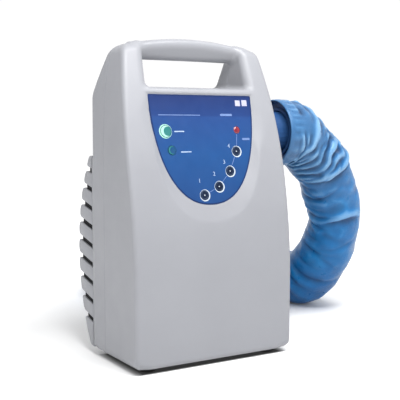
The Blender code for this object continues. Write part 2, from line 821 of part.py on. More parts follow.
def loop_point(degrees):
    a = math.radians(degrees)
    return Vector(
        (LOOP_C[0] + LOOP_R * math.cos(a), LOOP_C[1] + LOOP_R * math.sin(a), HOSE_FLOOR_Z)
    )


ROUTE = [
    Vector((CUFF_X + 0.0085, SPIGOT_Y, SPIGOT_Z)),
    Vector((0.1735, SPIGOT_Y, SPIGOT_Z)),
    Vector((0.193, 0.0166, 0.3008)),
    Vector((0.217, 0.0220, 0.2853)),
    Vector((0.2425, 0.0326, 0.2658)),
    Vector((0.2675, 0.0456, 0.2420)),
    Vector((0.291, 0.0596, 0.2132)),
    Vector((0.3097, 0.0740, 0.1770)),
    Vector((0.3212, 0.0910, 0.1385)),
    Vector((0.326, 0.1140, 0.1015)),
    Vector((0.327, 0.1440, 0.0705)),
    Vector((0.327, 0.1780, 0.0497)),
    Vector((0.329, 0.2150, HOSE_FLOOR_Z)),
    Vector((0.340, 0.2640, HOSE_FLOOR_Z)),
    loop_point(-14),
    loop_point(12),
    loop_point(40),
    loop_point(70),
    loop_point(100),
    loop_point(130),
    loop_point(160),
    loop_point(190),
    loop_point(220),
    loop_point(246),
    loop_point(268),
]


def smooth_route(points, per_span):
    """Points of a Catmull-Rom curve through the route, straight in its first span."""
    out = [points[0]]
    n = len(points)
    for i in range(1, n - 1):
        p0 = points[i - 1]
        p1, p2 = points[i], points[i + 1]
        p3 = points[i + 2] if i + 2 < n else points[-1] * 2 - points[-2]
        for k in range(per_span):
            t = k / per_span
            out.append(
                0.5
                * (
                    2 * p1
                    + (p2 - p0) * t
                    + (2 * p0 - 5 * p1 + 4 * p2 - p3) * t * t
                    + (3 * p1 - p0 - 3 * p2 + p3) * t**3
                )
            )
    out.append(points[-1])
    return out


line = smooth_route(ROUTE, 2)
offset = Vector((0, SPIGOT_Y, SPIGOT_Z))
radii = []
run = 0.0
for i, point in enumerate(line):
    if i:
        run += (point - line[i - 1]).length
    fade = min(1.0, max(0.0, (run - 0.036) / 0.06))
    radii.append(1.0 + 0.16 * (1.0 - fade))
sleeve = wire(
    "hose_sleeve", [p - offset for p in line], HOSE_R, 4, M_HOSE, caps=False, radii=radii, parent=hose_axis
)
weld = sleeve.modifiers.new("weld", "WELD")
weld.merge_threshold = 1e-5
wall = sleeve.modifiers.new("wall", "SOLIDIFY")
wall.thickness = HOSE_WALL
wall.offset = -1.0
wall.use_rim = True

heading = (line[-1] - line[-2]).normalized()
nozzle = turned(
    "hose_nozzle",
    [
        (0.0295, 0.0500), (0.0305, 0.0485), (0.0305, 0.0045), (0.0428, 0.0045), (0.0428, GAP),
        (0.0365, GAP), (0.0365, -0.0200), (0.0265, -0.0200), (0.0265, 0.0500),
    ],
    M_CUFF, True, 24, parent=hose_axis,
)
nozzle.location = line[-1] - offset
nozzle.rotation_mode = "QUATERNION"
nozzle.rotation_quaternion = heading.to_track_quat("Z", "Y")
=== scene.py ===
"""Looks for the patient warming blower: every piece is made here in mesh code,
in metres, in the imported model's frame."""

import math

import bmesh
import bpy
import numpy as np
from mathutils import Matrix, Vector
from mathutils import noise as perlin


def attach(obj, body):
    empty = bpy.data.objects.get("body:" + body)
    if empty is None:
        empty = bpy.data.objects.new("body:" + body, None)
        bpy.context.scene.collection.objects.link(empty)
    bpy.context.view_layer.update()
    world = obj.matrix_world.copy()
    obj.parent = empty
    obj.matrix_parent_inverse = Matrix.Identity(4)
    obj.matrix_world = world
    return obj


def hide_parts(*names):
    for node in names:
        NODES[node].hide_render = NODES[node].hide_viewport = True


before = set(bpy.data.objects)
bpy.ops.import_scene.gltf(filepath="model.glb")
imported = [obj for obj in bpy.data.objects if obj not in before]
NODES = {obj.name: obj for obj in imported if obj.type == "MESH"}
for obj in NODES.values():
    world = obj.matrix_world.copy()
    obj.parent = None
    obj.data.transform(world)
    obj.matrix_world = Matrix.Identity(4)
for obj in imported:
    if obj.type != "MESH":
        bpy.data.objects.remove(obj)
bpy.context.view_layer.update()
scene = bpy.context.scene

# the cabinet's own axes start at this point of the frame
OX, OY = -0.030375, -0.0254
SHIFT = np.array((OX, OY, 0.0))

HALF_W, FRONT_Y, REAR_Y = 0.12125, -0.0635, 0.0645
BOTTOM_Z, TOP_Z, ARCH = 0.006, 0.4322, 0.68
SPLIT_Y = 0.0265
SILL_Z, SILL_RISE = 0.3673, 0.0615
TUNNEL_HALF, TUNNEL_TAPER = 0.0768, 0.123
PANEL_TOP = np.array((0.0, -0.018, 0.358))
LEAN = math.atan(0.031 / 0.1453)
PANEL_HALF, PANEL_LEN, PANEL_POWER = 0.0795, 0.1486, 2.3
SPIGOT_Y, SPIGOT_Z, SPIGOT_R = 0.0155, 0.307, 0.030


# ------------------------------------------------------------------ materials
def new_material(name):
    mat = bpy.data.materials.new(name)
    mat.use_nodes = True
    tree = mat.node_tree
    return mat, tree, tree.nodes["Principled BSDF"]


def node(tree, kind, **inputs):
    made = tree.nodes.new(kind)
    for key, value in inputs.items():
        made.inputs[key.replace("_", " ")].default_value = value
    return made


def coords(tree, scale=(1, 1, 1)):
    where = tree.nodes.new("ShaderNodeTexCoord")
    if tuple(scale) == (1, 1, 1):
        return where.outputs["Object"]
    mapping = node(tree, "ShaderNodeMapping", Scale=scale)
    tree.links.new(where.outputs["Object"], mapping.inputs["Vector"])
    return mapping.outputs["Vector"]


def noise(tree, vector, scale, detail=3.0, roughness=0.5, distortion=0.0):
    tex = node(tree, "ShaderNodeTexNoise", Scale=scale, Detail=detail, Roughness=roughness, Distortion=distortion)
    tree.links.new(vector, tex.inputs["Vector"])
    return tex.outputs["Fac"]


def ramp(tree, fac, stops):
    made = tree.nodes.new("ShaderNodeValToRGB")
    items = made.color_ramp.elements
    while len(items) < len(stops):
        items.new(0.5)
    for item, (at, colour) in zip(items, stops):
        item.position = at
        item.color = (*colour, 1.0) if len(colour) == 3 else colour
    tree.links.new(fac, made.inputs["Fac"])
    return made.outputs["Color"]


def spread(tree, fac, low, high, at=(0.3, 0.7)):
    made = tree.nodes.new("ShaderNodeMapRange")
    made.inputs["From Min"].default_value = at[0]
    made.inputs["From Max"].default_value = at[1]
    made.inputs["To Min"].default_value = low
    made.inputs["To Max"].default_value = high
    tree.links.new(fac, made.inputs["Value"])
    return made.outputs["Result"]


def bump(tree, shader, height, strength, distance, under=None):
    made = node(tree, "ShaderNodeBump", Strength=strength, Distance=distance)
    tree.links.new(height, made.inputs["Height"])
    if under is not None:
        tree.links.new(under, made.inputs["Normal"])
    tree.links.new(made.outputs["Normal"], shader.inputs["Normal"])
    return made.outputs["Normal"]


def moulded(name, colour, roughness=0.42, grain=900.0, vary=0.04, depth=0.00012, coat=0.0):
    """Moulded plastic: a fine spark-eroded grain, with slow drifts of tone and gloss."""
    mat, tree, shader = new_material(name)
    vector = coords(tree)
    slow = noise(tree, vector, 9.0, 4.0, 0.55)
    fine = noise(tree, vector, grain, 2.0, 0.6)
    low = tuple(c * (1 - vary) for c in colour)
    high = tuple(min(1.0, c * (1 + vary)) for c in colour)
    tree.links.new(ramp(tree, slow, ((0.32, low), (0.68, high))), shader.inputs["Base Color"])
    tree.links.new(spread(tree, noise(tree, vector, 42.0, 3.0), roughness - 0.05, roughness + 0.06), shader.inputs["Roughness"])
    bump(tree, shader, fine, 0.35, depth)
    shader.inputs["Specular IOR Level"].default_value = 0.42
    if coat:
        shader.inputs["Coat Weight"].default_value = coat
        shader.inputs["Coat Roughness"].default_value = 0.2
    return mat


def metal(name, colour, roughness=0.3, stretch=(1, 1, 1), scale=400.0):
    mat, tree, shader = new_material(name)
    vector = coords(tree, stretch)
    line = noise(tree, vector, scale, 4.0, 0.6)
    low = tuple(c * 0.86 for c in colour)
    tree.links.new(ramp(tree, line, ((0.3, low), (0.7, colour))), shader.inputs["Base Color"])
    tree.links.new(spread(tree, line, roughness - 0.08, roughness + 0.12), shader.inputs["Roughness"])
    bump(tree, shader, line, 0.2, 0.00008)
    shader.inputs["Metallic"].default_value = 1.0
    return mat


# ---------------------------------------------------------------- mesh helpers
def mesh_object(name, points, faces, mat, smooth=True, shift=True):
    points = np.asarray(points, dtype=float)
    if shift:
        points = points + SHIFT
    mesh = bpy.data.meshes.new(name)
    mesh.from_pydata(points.tolist(), [], [list(map(int, f)) for f in faces])
    mesh.update()
    obj = bpy.data.objects.new(name, mesh)
    scene.collection.objects.link(obj)
    for one in mat if isinstance(mat, (list, tuple)) else [mat]:
        mesh.materials.append(one)
    if smooth:
        mesh.shade_smooth()
    return obj


def from_bmesh(name, bm, mat, smooth=True, sharp=None, shift=True):
    if shift:
        bm.transform(Matrix.Translation((OX, OY, 0.0)))
    mesh = bpy.data.meshes.new(name)
    bm.to_mesh(mesh)
    bm.free()
    obj = bpy.data.objects.new(name, mesh)
    scene.collection.objects.link(obj)
    for one in mat if isinstance(mat, (list, tuple)) else [mat]:
        mesh.materials.append(one)
    if smooth:
        mesh.shade_smooth()
        if sharp:
            mesh.set_sharp_from_angle(angle=math.radians(sharp))
    return obj


def apply_all(obj):
    graph = bpy.context.evaluated_depsgraph_get()
    bpy.context.view_layer.update()
    mesh = bpy.data.meshes.new_from_object(obj.evaluated_get(graph))
    old = obj.data
    obj.modifiers.clear()
    obj.data = mesh
    bpy.data.meshes.remove(old)
    return obj


def piece(obj, body, slot, *nodes):
    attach(obj, body)
    if nodes:
        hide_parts(*nodes)
    return obj


# ---------------------------------------------------------- the cabinet's form
def side(z, back):
    ahead = HALF_W - 0.0134 * np.maximum(0.0, (z - 0.246) / 0.16) ** 2.2
    behind = HALF_W + 0.0014 - 0.0125 * np.maximum(0.0, (z - 0.357) / 0.063) ** 1.25
    return ahead + (behind - ahead) * back


def front(z):
    return FRONT_Y + 0.059 * np.maximum(0.0, (z - 0.121) / 0.285) ** 1.7


def soft_min(a, b, k):
    h = np.maximum(k - np.abs(a - b), 0.0) / k
    return np.minimum(a, b) - h * h * k * 0.25


def rear(z):
    return soft_min(REAR_Y + 0.0 * z, 0.0667 - 0.52 * (z - 0.353), 0.004)


def crown(x):
    u = np.minimum(np.abs(x) / 0.108, 1.15)
    drop = 0.0018 * smooth(0.068, 0.086, np.abs(x))
    return TOP_Z - ARCH * (0.108 * u) ** 2 - drop - 0.0022 * u**8


def smooth(a, b, x):
    t = np.clip((x - a) / (b - a), 0.0, 1.0)
    return t * t * (3 - 2 * t)


def round_max(a, b, r):
    return np.minimum(-r, np.maximum(a, b)) + np.hypot(np.maximum(r + a, 0.0), np.maximum(r + b, 0.0))


def round_min(a, b, r):
    return np.maximum(r, np.minimum(a, b)) - np.hypot(np.maximum(r - a, 0.0), np.maximum(r - b, 0.0))


def panel_place(y, z):
    """Distance down the panel from its top edge, and height off its face."""
    dy, dz = y - PANEL_TOP[1], z - PANEL_TOP[2]
    return -(dy * math.sin(LEAN) + dz * math.cos(LEAN)), -dy * math.cos(LEAN) + dz * math.sin(LEAN)


def scoop(x, y, z):
    s, h = panel_place(y, z)
    p = PANEL_POWER
    # a plain flared ledge with a clear outer edge
    up = np.maximum(h, 0.0) / 0.016
    a = (PANEL_HALF + 0.0002) * (1 + 0.21 * up)
    b = (PANEL_LEN + 0.0002) * (1 + 0.62 * up)
    ex, es = np.abs(x) / a, np.maximum(s, 1e-6) / b
    n = np.maximum(ex**p + es**p, 1e-9) ** (1 / p)
    k = n ** (1 - p)
    gx, gs = ex ** (p - 1) / a * k, es ** (p - 1) / b * k
    rise = (h > 0) / 0.016
    gh = -k * (ex**p * 0.21 * rise * PANEL_HALF / a + es**p * 0.62 * rise * PANEL_LEN / b)
    wall = (n - 1) / np.sqrt(gx**2 + gs**2 + gh**2 + 1e-9)
    return np.maximum(np.maximum(wall, -s), -(h + 0.0006)), s


def form(x, y, z):
    """Signed distance, near enough, to the moulded cabinet with its grip."""
    fz, rz = front(z), rear(z)
    back = np.clip((y - fz) / np.maximum(rz - fz, 1e-4), 0.0, 1.0)
    fall = 0.059 * 1.7 / 0.285 * np.maximum(0.0, (z - 0.121) / 0.285) ** 0.7
    d_front = (fz - y) / np.sqrt(1 + fall**2)
    d_rear = (y - rz) / np.where(z > 0.357, 1.127, 1.0)
    # tight upright edges, a fuller round over the top, an eased foot
    body = round_max(np.abs(x) - side(z, back), np.maximum(d_front, d_rear), 0.0050)
    body = round_max(body, z - crown(x), 0.0105)
    body = round_max(body, BOTTOM_Z - z, 0.0062 + 0.0065 * smooth(0.096, 0.116, np.abs(x)))
    dish, s = scoop(x, y, z)
    # soft beside the upper half of the panel, a clear edge round the lower half
    body = round_max(body, -dish, 0.0022 + 0.006 * smooth(0.0, 0.03, s) - 0.0078 * smooth(0.045, 0.09, s))
    wall = (np.abs(x) - (TUNNEL_HALF - TUNNEL_TAPER * y)) / 1.0075
    floor = SILL_Z + SILL_RISE * y - z
    passage = round_max(wall, floor, 0.006)
    wide = 0.0110 - 0.0074 * smooth(-0.01, 0.03, y)
    lip = 0.0035 + (wide - 0.0035) * smooth(-0.004, 0.008, wall - floor)
    body = round_max(body, -passage, lip)
    # the grip
    top = TOP_Z + 0.0018 - 1.15 * x * x
    low = 0.4043
    mid, half = (top + low) / 2, (top - low) / 2
    r = 0.0122
    ay = np.abs(y - 0.0190) - 0.0140 + r
    az = np.abs(z - mid) - half + r
    bar = np.hypot(np.maximum(ay, 0), np.maximum(az, 0)) + np.minimum(np.maximum(ay, az), 0.0) - r
    # its face falls back towards the fingers
    bar = round_max(bar, -0.872 * (y - 0.0052) - 0.489 * (z - (top - 0.0052)), 0.0055)
    bar = np.maximum(bar, np.abs(x) - 0.088)
    return round_min(body, bar, 0.007)


def gradient(points, step=0.0003):
    out = np.empty_like(points)
    for axis in range(3):
        d = np.zeros(3)
        d[axis] = step
        out[:, axis] = (form(*(points + d).T) - form(*(points - d).T)) / (2 * step)
    return out


def surface(cell):
    """The zero surface of the form as quads: one vertex in each crossed cell."""
    # cells straddle x = 0 evenly, so the mesh mirrors
    xs = np.arange(-49.5, 50) * cell * (0.1285 / (49.5 * cell))
    ys = np.arange(-0.0715, 0.0735, cell)
    zs = np.arange(0.0015, 0.4395, cell)
    X, Y, Z = np.meshgrid(xs, ys, zs, indexing="ij")
    F = form(X, Y, Z)
    inside = F < 0
    shape = tuple(n - 1 for n in F.shape)
    total = np.zeros(shape + (3,))
    count = np.zeros(shape)
    grid = np.stack((X, Y, Z), -1)
    corners = [(i, j, k) for i in (0, 1) for j in (0, 1) for k in (0, 1)]

    def part(a, c):
        return a[c[0] : c[0] + shape[0], c[1] : c[1] + shape[1], c[2] : c[2] + shape[2]]

    for c in corners:
        for axis in range(3):
            if c[axis]:
                continue
            e = list(c)
            e[axis] = 1
            fa, fb = part(F, c), part(F, e)
            hit = part(inside, c) != part(inside, e)
            t = np.where(hit, fa / np.where(hit, fa - fb, 1.0), 0.0)
            total += np.where(hit[..., None], part(grid, c) + t[..., None] * (part(grid, e) - part(grid, c)), 0.0)
            count += hit
    live = count > 0
    index = np.full(shape, -1)
    index[live] = np.arange(live.sum())
    points = total[live] / count[live][:, None]
    quads = []
    for axis in range(3):
        o1, o2 = [(1, 2), (2, 0), (0, 1)][axis]
        a = [slice(None)] * 3
        b = [slice(None)] * 3
        a[axis], b[axis] = slice(0, -1), slice(1, None)
        for o in (o1, o2):
            a[o] = b[o] = slice(1, -1)
        first, second = inside[tuple(a)], inside[tuple(b)]
        where = np.argwhere(first != second)
        base = where.copy()
        base[:, o1] += 1
        base[:, o2] += 1
        ring = []
        for d1, d2 in ((0, 0), (-1, 0), (-1, -1), (0, -1)):
            q = base.copy()
            q[:, o1] += d1
            q[:, o2] += d2
            ring.append(index[q[:, 0], q[:, 1], q[:, 2]])
        ring = np.stack(ring, 1)
        flip = ~first[where[:, 0], where[:, 1], where[:, 2]]
        ring[flip] = ring[flip][:, ::-1]
        quads.append(ring)
    quads = np.concatenate(quads)
    quads = quads[(quads >= 0).all(1)]
    # even the vertices out along the surface, then set them on it
    pairs = np.concatenate([quads[:, [0, 1]], quads[:, [1, 2]], quads[:, [2, 3]], quads[:, [3, 0]]])
    pairs = np.concatenate([pairs, pairs[:, ::-1]])
    share = np.bincount(pairs[:, 0], minlength=len(points)).astype(float)
    for turn in range(5):
        if turn < 4:
            mean = np.stack(
                [np.bincount(pairs[:, 0], points[pairs[:, 1], i], len(points)) / share for i in range(3)], 1
            )
            points = points + 0.45 * (mean - points)
        for _ in range(2):
            g = gradient(points)
            move = form(*points.T)[:, None] * g / np.maximum((g * g).sum(1), 0.05)[:, None]
            long = np.linalg.norm(move, axis=1, keepdims=True)
            points = points - move * np.minimum(1.0, 0.0016 / np.maximum(long, 1e-9))
    return points, quads


# ------------------------------------------------------------- camera and set
camera = bpy.data.cameras.new("camera")
camera.sensor_width = 36.0
camera.lens = 826.0 / 400.0 * 36.0
camera.clip_start = 0.02
camera_obj = bpy.data.objects.new("camera", camera)
camera_obj.location = (-0.605705, -1.000283, 0.316)
camera_obj.rotation_euler = (math.radians(90 - 5.12), 0.0, math.radians(-31.0))
scene.collection.objects.link(camera_obj)
scene.camera = camera_obj
scene.view_settings.view_transform = "Standard"

world = bpy.data.worlds.new("studio")
scene.world = world
world.use_nodes = True
backdrop = world.node_tree.nodes["Background"]
backdrop.inputs["Color"].default_value = (1.0, 1.0, 1.0, 1.0)
# a bright sweep behind the object, and a dimmer room in front of it
way = world.node_tree.nodes.new("ShaderNodeTexCoord")
facing = world.node_tree.nodes.new("ShaderNodeVectorMath")
facing.operation = "DOT_PRODUCT"
facing.inputs[1].default_value = (0.50, 0.84, 0.20)
world.node_tree.links.new(way.outputs["Generated"], facing.inputs[0])
glow = world.node_tree.nodes.new("ShaderNodeMapRange")
glow.inputs["From Min"].default_value = -0.35
glow.inputs["From Max"].default_value = 0.80
glow.inputs["To Min"].default_value = 0.42
glow.inputs["To Max"].default_value = 1.02
world.node_tree.links.new(facing.outputs["Value"], glow.inputs["Value"])
world.node_tree.links.new(glow.outputs["Result"], backdrop.inputs["Strength"])


def lamp(name, place, target, size, power, colour=(1, 1, 1)):
    light = bpy.data.lights.new(name, "AREA")
    light.shape = "RECTANGLE"
    light.size, light.size_y = size
    light.energy = power
    light.color = colour
    obj = bpy.data.objects.new(name, light)
    obj.location = place
    obj.rotation_euler = (Vector(target) - Vector(place)).to_track_quat("-Z", "Y").to_euler()
    scene.collection.objects.link(obj)
    return obj


lamp("softbox_top", (-0.06, -0.56, 1.08), (-0.03, 0.0, 0.36), (0.7, 0.4), 14.4)
lamp("softbox_front", (-0.36, -1.20, 0.80), (0.03, -0.04, 0.25), (0.26, 0.34), 3.0)
lamp("softbox_left", (-1.5, 0.1, 0.18), (-0.1, 0.0, 0.04), (0.8, 0.5), 4.9)
lamp("softbox_hose", (0.22, -0.46, 1.12), (0.27, 0.02, 0.26), (0.26, 0.26), 2.6)

floor_mat, tree, shader = new_material("studio_floor")
tone = ramp(tree, noise(tree, coords(tree), 3.0, 2.0), ((0.3, (0.90, 0.90, 0.90)), (0.7, (0.93, 0.93, 0.93))))
# deep shade in the gap below the base
below = node(tree, "ShaderNodeMapping", Location=(-OX / 0.1190, -(OY + 0.0005) / 0.0615, 0.0), Scale=(1 / 0.1190, 1 / 0.0615, 1.0))
tree.links.new(coords(tree), below.inputs["Vector"])
across = tree.nodes.new("ShaderNodeVectorMath")
across.operation = "ABSOLUTE"
tree.links.new(below.outputs["Vector"], across.inputs[0])
split = tree.nodes.new("ShaderNodeSeparateXYZ")
tree.links.new(across.outputs["Vector"], split.inputs["Vector"])
reach = tree.nodes.new("ShaderNodeMath")
reach.operation = "MAXIMUM"
tree.links.new(split.outputs["X"], reach.inputs[0])
tree.links.new(split.outputs["Y"], reach.inputs[1])
shaded = tree.nodes.new("ShaderNodeMix")
shaded.data_type = "RGBA"
shaded.blend_type = "MULTIPLY"
shaded.inputs["Factor"].default_value = 1.0
tree.links.new(tone, shaded.inputs["A"])
tree.links.new(ramp(tree, reach.outputs["Value"], ((0.90, (0.03, 0.03, 0.03)), (1.0, (1.0, 1.0, 1.0)))), shaded.inputs["B"])
tree.links.new(shaded.outputs["Result"], shader.inputs["Base Color"])
shader.inputs["Roughness"].default_value = 0.9
shader.inputs["Specular IOR Level"].default_value = 0.1
# painted light: the floor glows, faintly within 0.33 m of the origin and rising to 0.46 at 0.95 m
shader.inputs["Emission Color"].default_value = (1.0, 1.0, 1.0, 1.0)
rings = tree.nodes.new("ShaderNodeVectorMath")
rings.operation = "LENGTH"
tree.links.new(coords(tree), rings.inputs[0])
tree.links.new(spread(tree, rings.outputs["Value"], 0.03, 0.46, (0.33, 0.95)), shader.inputs["Emission Strength"])
bm = bmesh.new()
bmesh.ops.create_grid(bm, x_segments=8, y_segments=8, size=6.0)
floor_obj = from_bmesh("studio_floor", bm, floor_mat, shift=False)

# ------------------------------------------------------------------- finishes
SHELL = moulded("shell_plastic_grain", (0.250, 0.255, 0.276), 0.44, 1100.0, 0.03)
CUFF = moulded("cuff_moulded", (0.016, 0.060, 0.175), 0.42, 700.0, 0.10)
DARK = moulded("dark_moulded", (0.022, 0.023, 0.026), 0.5, 900.0, 0.15)
RUBBER = moulded("foot_rubber_dull", (0.018, 0.018, 0.019), 0.78, 500.0, 0.2, 0.0003)
FANP = moulded("fan_moulded", (0.06, 0.064, 0.07), 0.48, 800.0, 0.12)
STEEL = metal("steel_turned", (0.58, 0.58, 0.60), 0.30, (1, 1, 6), 500.0)
BRASS = metal("brass_pin", (0.74, 0.56, 0.24), 0.28, (1, 8, 1), 400.0)
SHEET = metal("sheet_aluminium_rolled", (0.63, 0.64, 0.66), 0.36, (8, 1, 1), 160.0)

filter_mat, tree, shader = new_material("filter_felt")
vector = coords(tree)
fibre = noise(tree, coords(tree, (1, 1, 5)), 700.0, 4.0, 0.7, 1.5)
tree.links.new(ramp(tree, fibre, ((0.3, (0.56, 0.55, 0.50)), (0.7, (0.74, 0.73, 0.68)))), shader.inputs["Base Color"])
pleat = node(tree, "ShaderNodeTexWave", Scale=55.0, Distortion=0.3, Detail=1.0)
pleat.bands_direction = "X"
tree.links.new(vector, pleat.inputs["Vector"])
bump(tree, shader, pleat.outputs["Fac"], 0.6, 0.002)
tree.links.new(spread(tree, fibre, 0.85, 0.98), shader.inputs["Roughness"])

board_mat, tree, shader = new_material("circuit_board_masked")
vector = coords(tree)
cells = node(tree, "ShaderNodeTexBrick", Scale=90.0)
cells.inputs["Color1"].default_value = (0.012, 0.10, 0.04, 1)
cells.inputs["Color2"].default_value = (0.018, 0.13, 0.055, 1)
cells.inputs["Mortar"].default_value = (0.03, 0.20, 0.09, 1)
cells.inputs["Mortar Size"].default_value = 0.03
tree.links.new(vector, cells.inputs["Vector"])
tree.links.new(cells.outputs["Color"], shader.inputs["Base Color"])
tree.links.new(spread(tree, noise(tree, vector, 120.0), 0.3, 0.5), shader.inputs["Roughness"])
bump(tree, shader, cells.outputs["Fac"], 0.4, 0.0001)

coil_mat, tree, shader = new_material("heater_wire_oxide")
vector = coords(tree)
spots = noise(tree, vector, 260.0, 4.0, 0.65)
tree.links.new(ramp(tree, spots, ((0.3, (0.16, 0.10, 0.07)), (0.7, (0.40, 0.33, 0.28)))), shader.inputs["Base Color"])
tree.links.new(spread(tree, spots, 0.35, 0.6), shader.inputs["Roughness"])
shader.inputs["Metallic"].default_value = 1.0
bump(tree, shader, spots, 0.3, 0.0001)

iron_mat, tree, shader = new_material("transformer_laminations")
vector = coords(tree)
leaf = node(tree, "ShaderNodeTexWave", Scale=500.0, Distortion=0.4)
leaf.bands_direction = "Z"
tree.links.new(vector, leaf.inputs["Vector"])
tree.links.new(ramp(tree, leaf.outputs["Fac"], ((0.2, (0.06, 0.06, 0.065)), (0.8, (0.24, 0.24, 0.25)))), shader.inputs["Base Color"])
tree.links.new(spread(tree, noise(tree, vector, 60.0), 0.4, 0.62), shader.inputs["Roughness"])
shader.inputs["Metallic"].default_value = 0.8
bump(tree, shader, leaf.outputs["Fac"], 0.5, 0.0002)


def finish_node(name, mat):
    obj = NODES[name]
    for one in obj.material_slots:
        one.link = "OBJECT"
        one.material = mat


for name, mat in {
    "volute_housing": FANP, "volute_cover": FANP, "impeller": DARK, "motor_can": STEEL, "motor_shaft": STEEL,
    "bearing_front": STEEL, "bearing_rear": STEEL, "heater_duct": SHEET, "heater_coil": coil_mat,
    "thermal_cutout": DARK, "filter_media": filter_mat, "filter_frame": FANP, "control_board": board_mat,
    "board_standoff_1": BRASS, "board_standoff_2": BRASS, "board_standoff_3": BRASS, "board_standoff_4": BRASS,
    "power_board": board_mat, "board_rail_left": FANP, "board_rail_right": FANP, "transformer": iron_mat,
    "heat_sink": SHEET, "mains_inlet": DARK, "inlet_pin_earth": BRASS, "inlet_pin_line": BRASS,
    "inlet_pin_neutral": BRASS, "outlet_spigot": CUFF, "case_screw_1": STEEL, "case_screw_2": STEEL,
    "case_screw_3": STEEL, "case_screw_4": STEEL,
}.items():
    finish_node(name, mat)

# ------------------------------------------------------------ cabinet mouldings
INLET_X, INLET_Z = -0.062, 0.313


def slice_at(bm, point, normal, test):
    faces = [f for f in bm.faces if test(f.calc_center_median())]
    geom = set(faces)
    for f in faces:
        geom.update(f.edges)
        geom.update(f.verts)
    bmesh.ops.bisect_plane(bm, geom=list(geom), dist=1e-6, plane_co=point, plane_no=normal)


points, quads = surface(0.0026)
bm = bmesh.new()
verts = [bm.verts.new(p) for p in points.tolist()]
for q in quads.tolist():
    bm.faces.new([verts[i] for i in q])
bm.normal_update()
for dy in (-0.0008, 0.0, 0.0008):
    slice_at(bm, (0, SPLIT_Y + dy, 0), (0, 1, 0), lambda c: abs(c.y - SPLIT_Y) < 0.006)
GRIP_X = 0.058
for x in (-GRIP_X, GRIP_X):
    slice_at(bm, (x, 0, 0), (1, 0, 0), lambda c: c.z > 0.395 and abs(c.x) < 0.068)
# openings: intake, mains inlet, spigot and the room behind the panel
for lo, hi in (((-0.104, 0.034), (0.104, 0.254)), ((INLET_X - 0.0143, INLET_Z - 0.0108), (INLET_X + 0.0143, INLET_Z + 0.0108))):
    near = lambda c: c.y > 0.058 and lo[0] - 0.01 < c.x < hi[0] + 0.01 and lo[1] - 0.01 < c.z < hi[1] + 0.01
    for x in (lo[0], hi[0]):
        slice_at(bm, (x, 0, 0), (1, 0, 0), near)
    for z in (lo[1], hi[1]):
        slice_at(bm, (0, 0, z), (0, 0, 1), near)
    gone = []
    for f in bm.faces:
        c = f.calc_center_median()
        if c.y > 0.058 and lo[0] < c.x < hi[0] and lo[1] < c.z < hi[1]:
            gone.append(f)
    bmesh.ops.delete(bm, geom=gone, context="FACES")
HOLE_R = SPIGOT_R + 0.0009
gone = []
for f in bm.faces:
    c = f.calc_center_median()
    if c.x > 0.09 and math.hypot(c.y - SPIGOT_Y, c.z - SPIGOT_Z) < HOLE_R:
        gone.append(f)
    else:
        s, h = panel_place(c.y, c.z)
        n = (abs(c.x / (PANEL_HALF - 0.004)) ** 2.3 + abs(max(s, 0) / (PANEL_LEN - 0.004)) ** 2.3) ** (1 / 2.3)
        if n < 1 and s > 0.004 and -0.003 < h < 0.002:
            gone.append(f)
bmesh.ops.delete(bm, geom=gone, context="FACES")
for v in bm.verts:
    if v.is_boundary and v.co.x > 0.09:
        d = math.hypot(v.co.y - SPIGOT_Y, v.co.z - SPIGOT_Z)
        if 0.024 < d < 0.038:
            v.co.y = SPIGOT_Y + (v.co.y - SPIGOT_Y) * HOLE_R / d
            v.co.z = SPIGOT_Z + (v.co.z - SPIGOT_Z) * HOLE_R / d
bm.normal_update()
# a shallow groove along the parting line
for v in bm.verts:
    if abs(v.co.y - SPLIT_Y) < 2e-5 and not (abs(v.co.x) < GRIP_X + 0.001 and v.co.z > 0.395):
        v.co -= v.normal * 0.0004


def is_grip(c):
    return abs(c.x) < GRIP_X and c.z > 0.395


def carved(name, keep, gap=0.0):
    copy = bm.copy()
    gone = [f for f in copy.faces if not keep(f.calc_center_median())]
    bmesh.ops.delete(copy, geom=gone, context="FACES")
    loose = [v for v in copy.verts if not v.link_faces]
    bmesh.ops.delete(copy, geom=loose, context="VERTS")
    for v in copy.verts:
        if gap and abs(v.co.y - SPLIT_Y) < 2e-5:
            v.co.y += gap
    obj = from_bmesh(name, copy, SHELL)
    thick = obj.modifiers.new("wall", "SOLIDIFY")
    thick.thickness = 0.0024
    thick.offset = -1.0
    apply_all(obj)
    obj.data.shade_smooth()
    obj.data.set_sharp_from_angle(angle=math.radians(50))
    return obj


front_shell = carved("front_moulding", lambda c: c.y < SPLIT_Y and not is_grip(c), -0.0001)
rear_shell = carved("rear_moulding", lambda c: c.y >= SPLIT_Y and not is_grip(c), 0.0001)
grip = carved("grip_moulding", is_grip)
bm.free()
piece(front_shell, "cabinet", "shell_plastic", "front_shell")
piece(rear_shell, "cabinet", "shell_plastic", "rear_shell")
piece(grip, "cabinet", "shell_plastic", "handle_bar")


# ---------------------------------------------------------------- turned parts
def lathe(name, profile, mats, steps=48, close=True, matrix=None, which=None, sharp=40):
    """profile is (radius, height) points; which gives a material index for each band."""
    bm = bmesh.new()
    rings = []
    for r, z in profile:
        if r < 1e-7:
            rings.append([bm.verts.new((0, 0, z))])
        else:
            rings.append(
                [bm.verts.new((r * math.cos(math.tau * i / steps), r * math.sin(math.tau * i / steps), z)) for i in range(steps)]
            )
    pairs = list(zip(rings, rings[1:]))
    if close:
        pairs.append((rings[-1], rings[0]))
    for k, (a, b) in enumerate(pairs):
        for i in range(steps):
            j = (i + 1) % steps
            if len(a) == 1 and len(b) == 1:
                continue
            if len(a) == 1:
                f = bm.faces.new((a[0], b[j], b[i]))
            elif len(b) == 1:
                f = bm.faces.new((a[i], a[j], b[0]))
            else:
                f = bm.faces.new((a[i], a[j], b[j], b[i]))
            if which:
                f.material_index = which[k]
    bmesh.ops.recalc_face_normals(bm, faces=bm.faces)
    if matrix is not None:
        bm.transform(matrix)
    return from_bmesh(name, bm, mats, sharp=sharp)


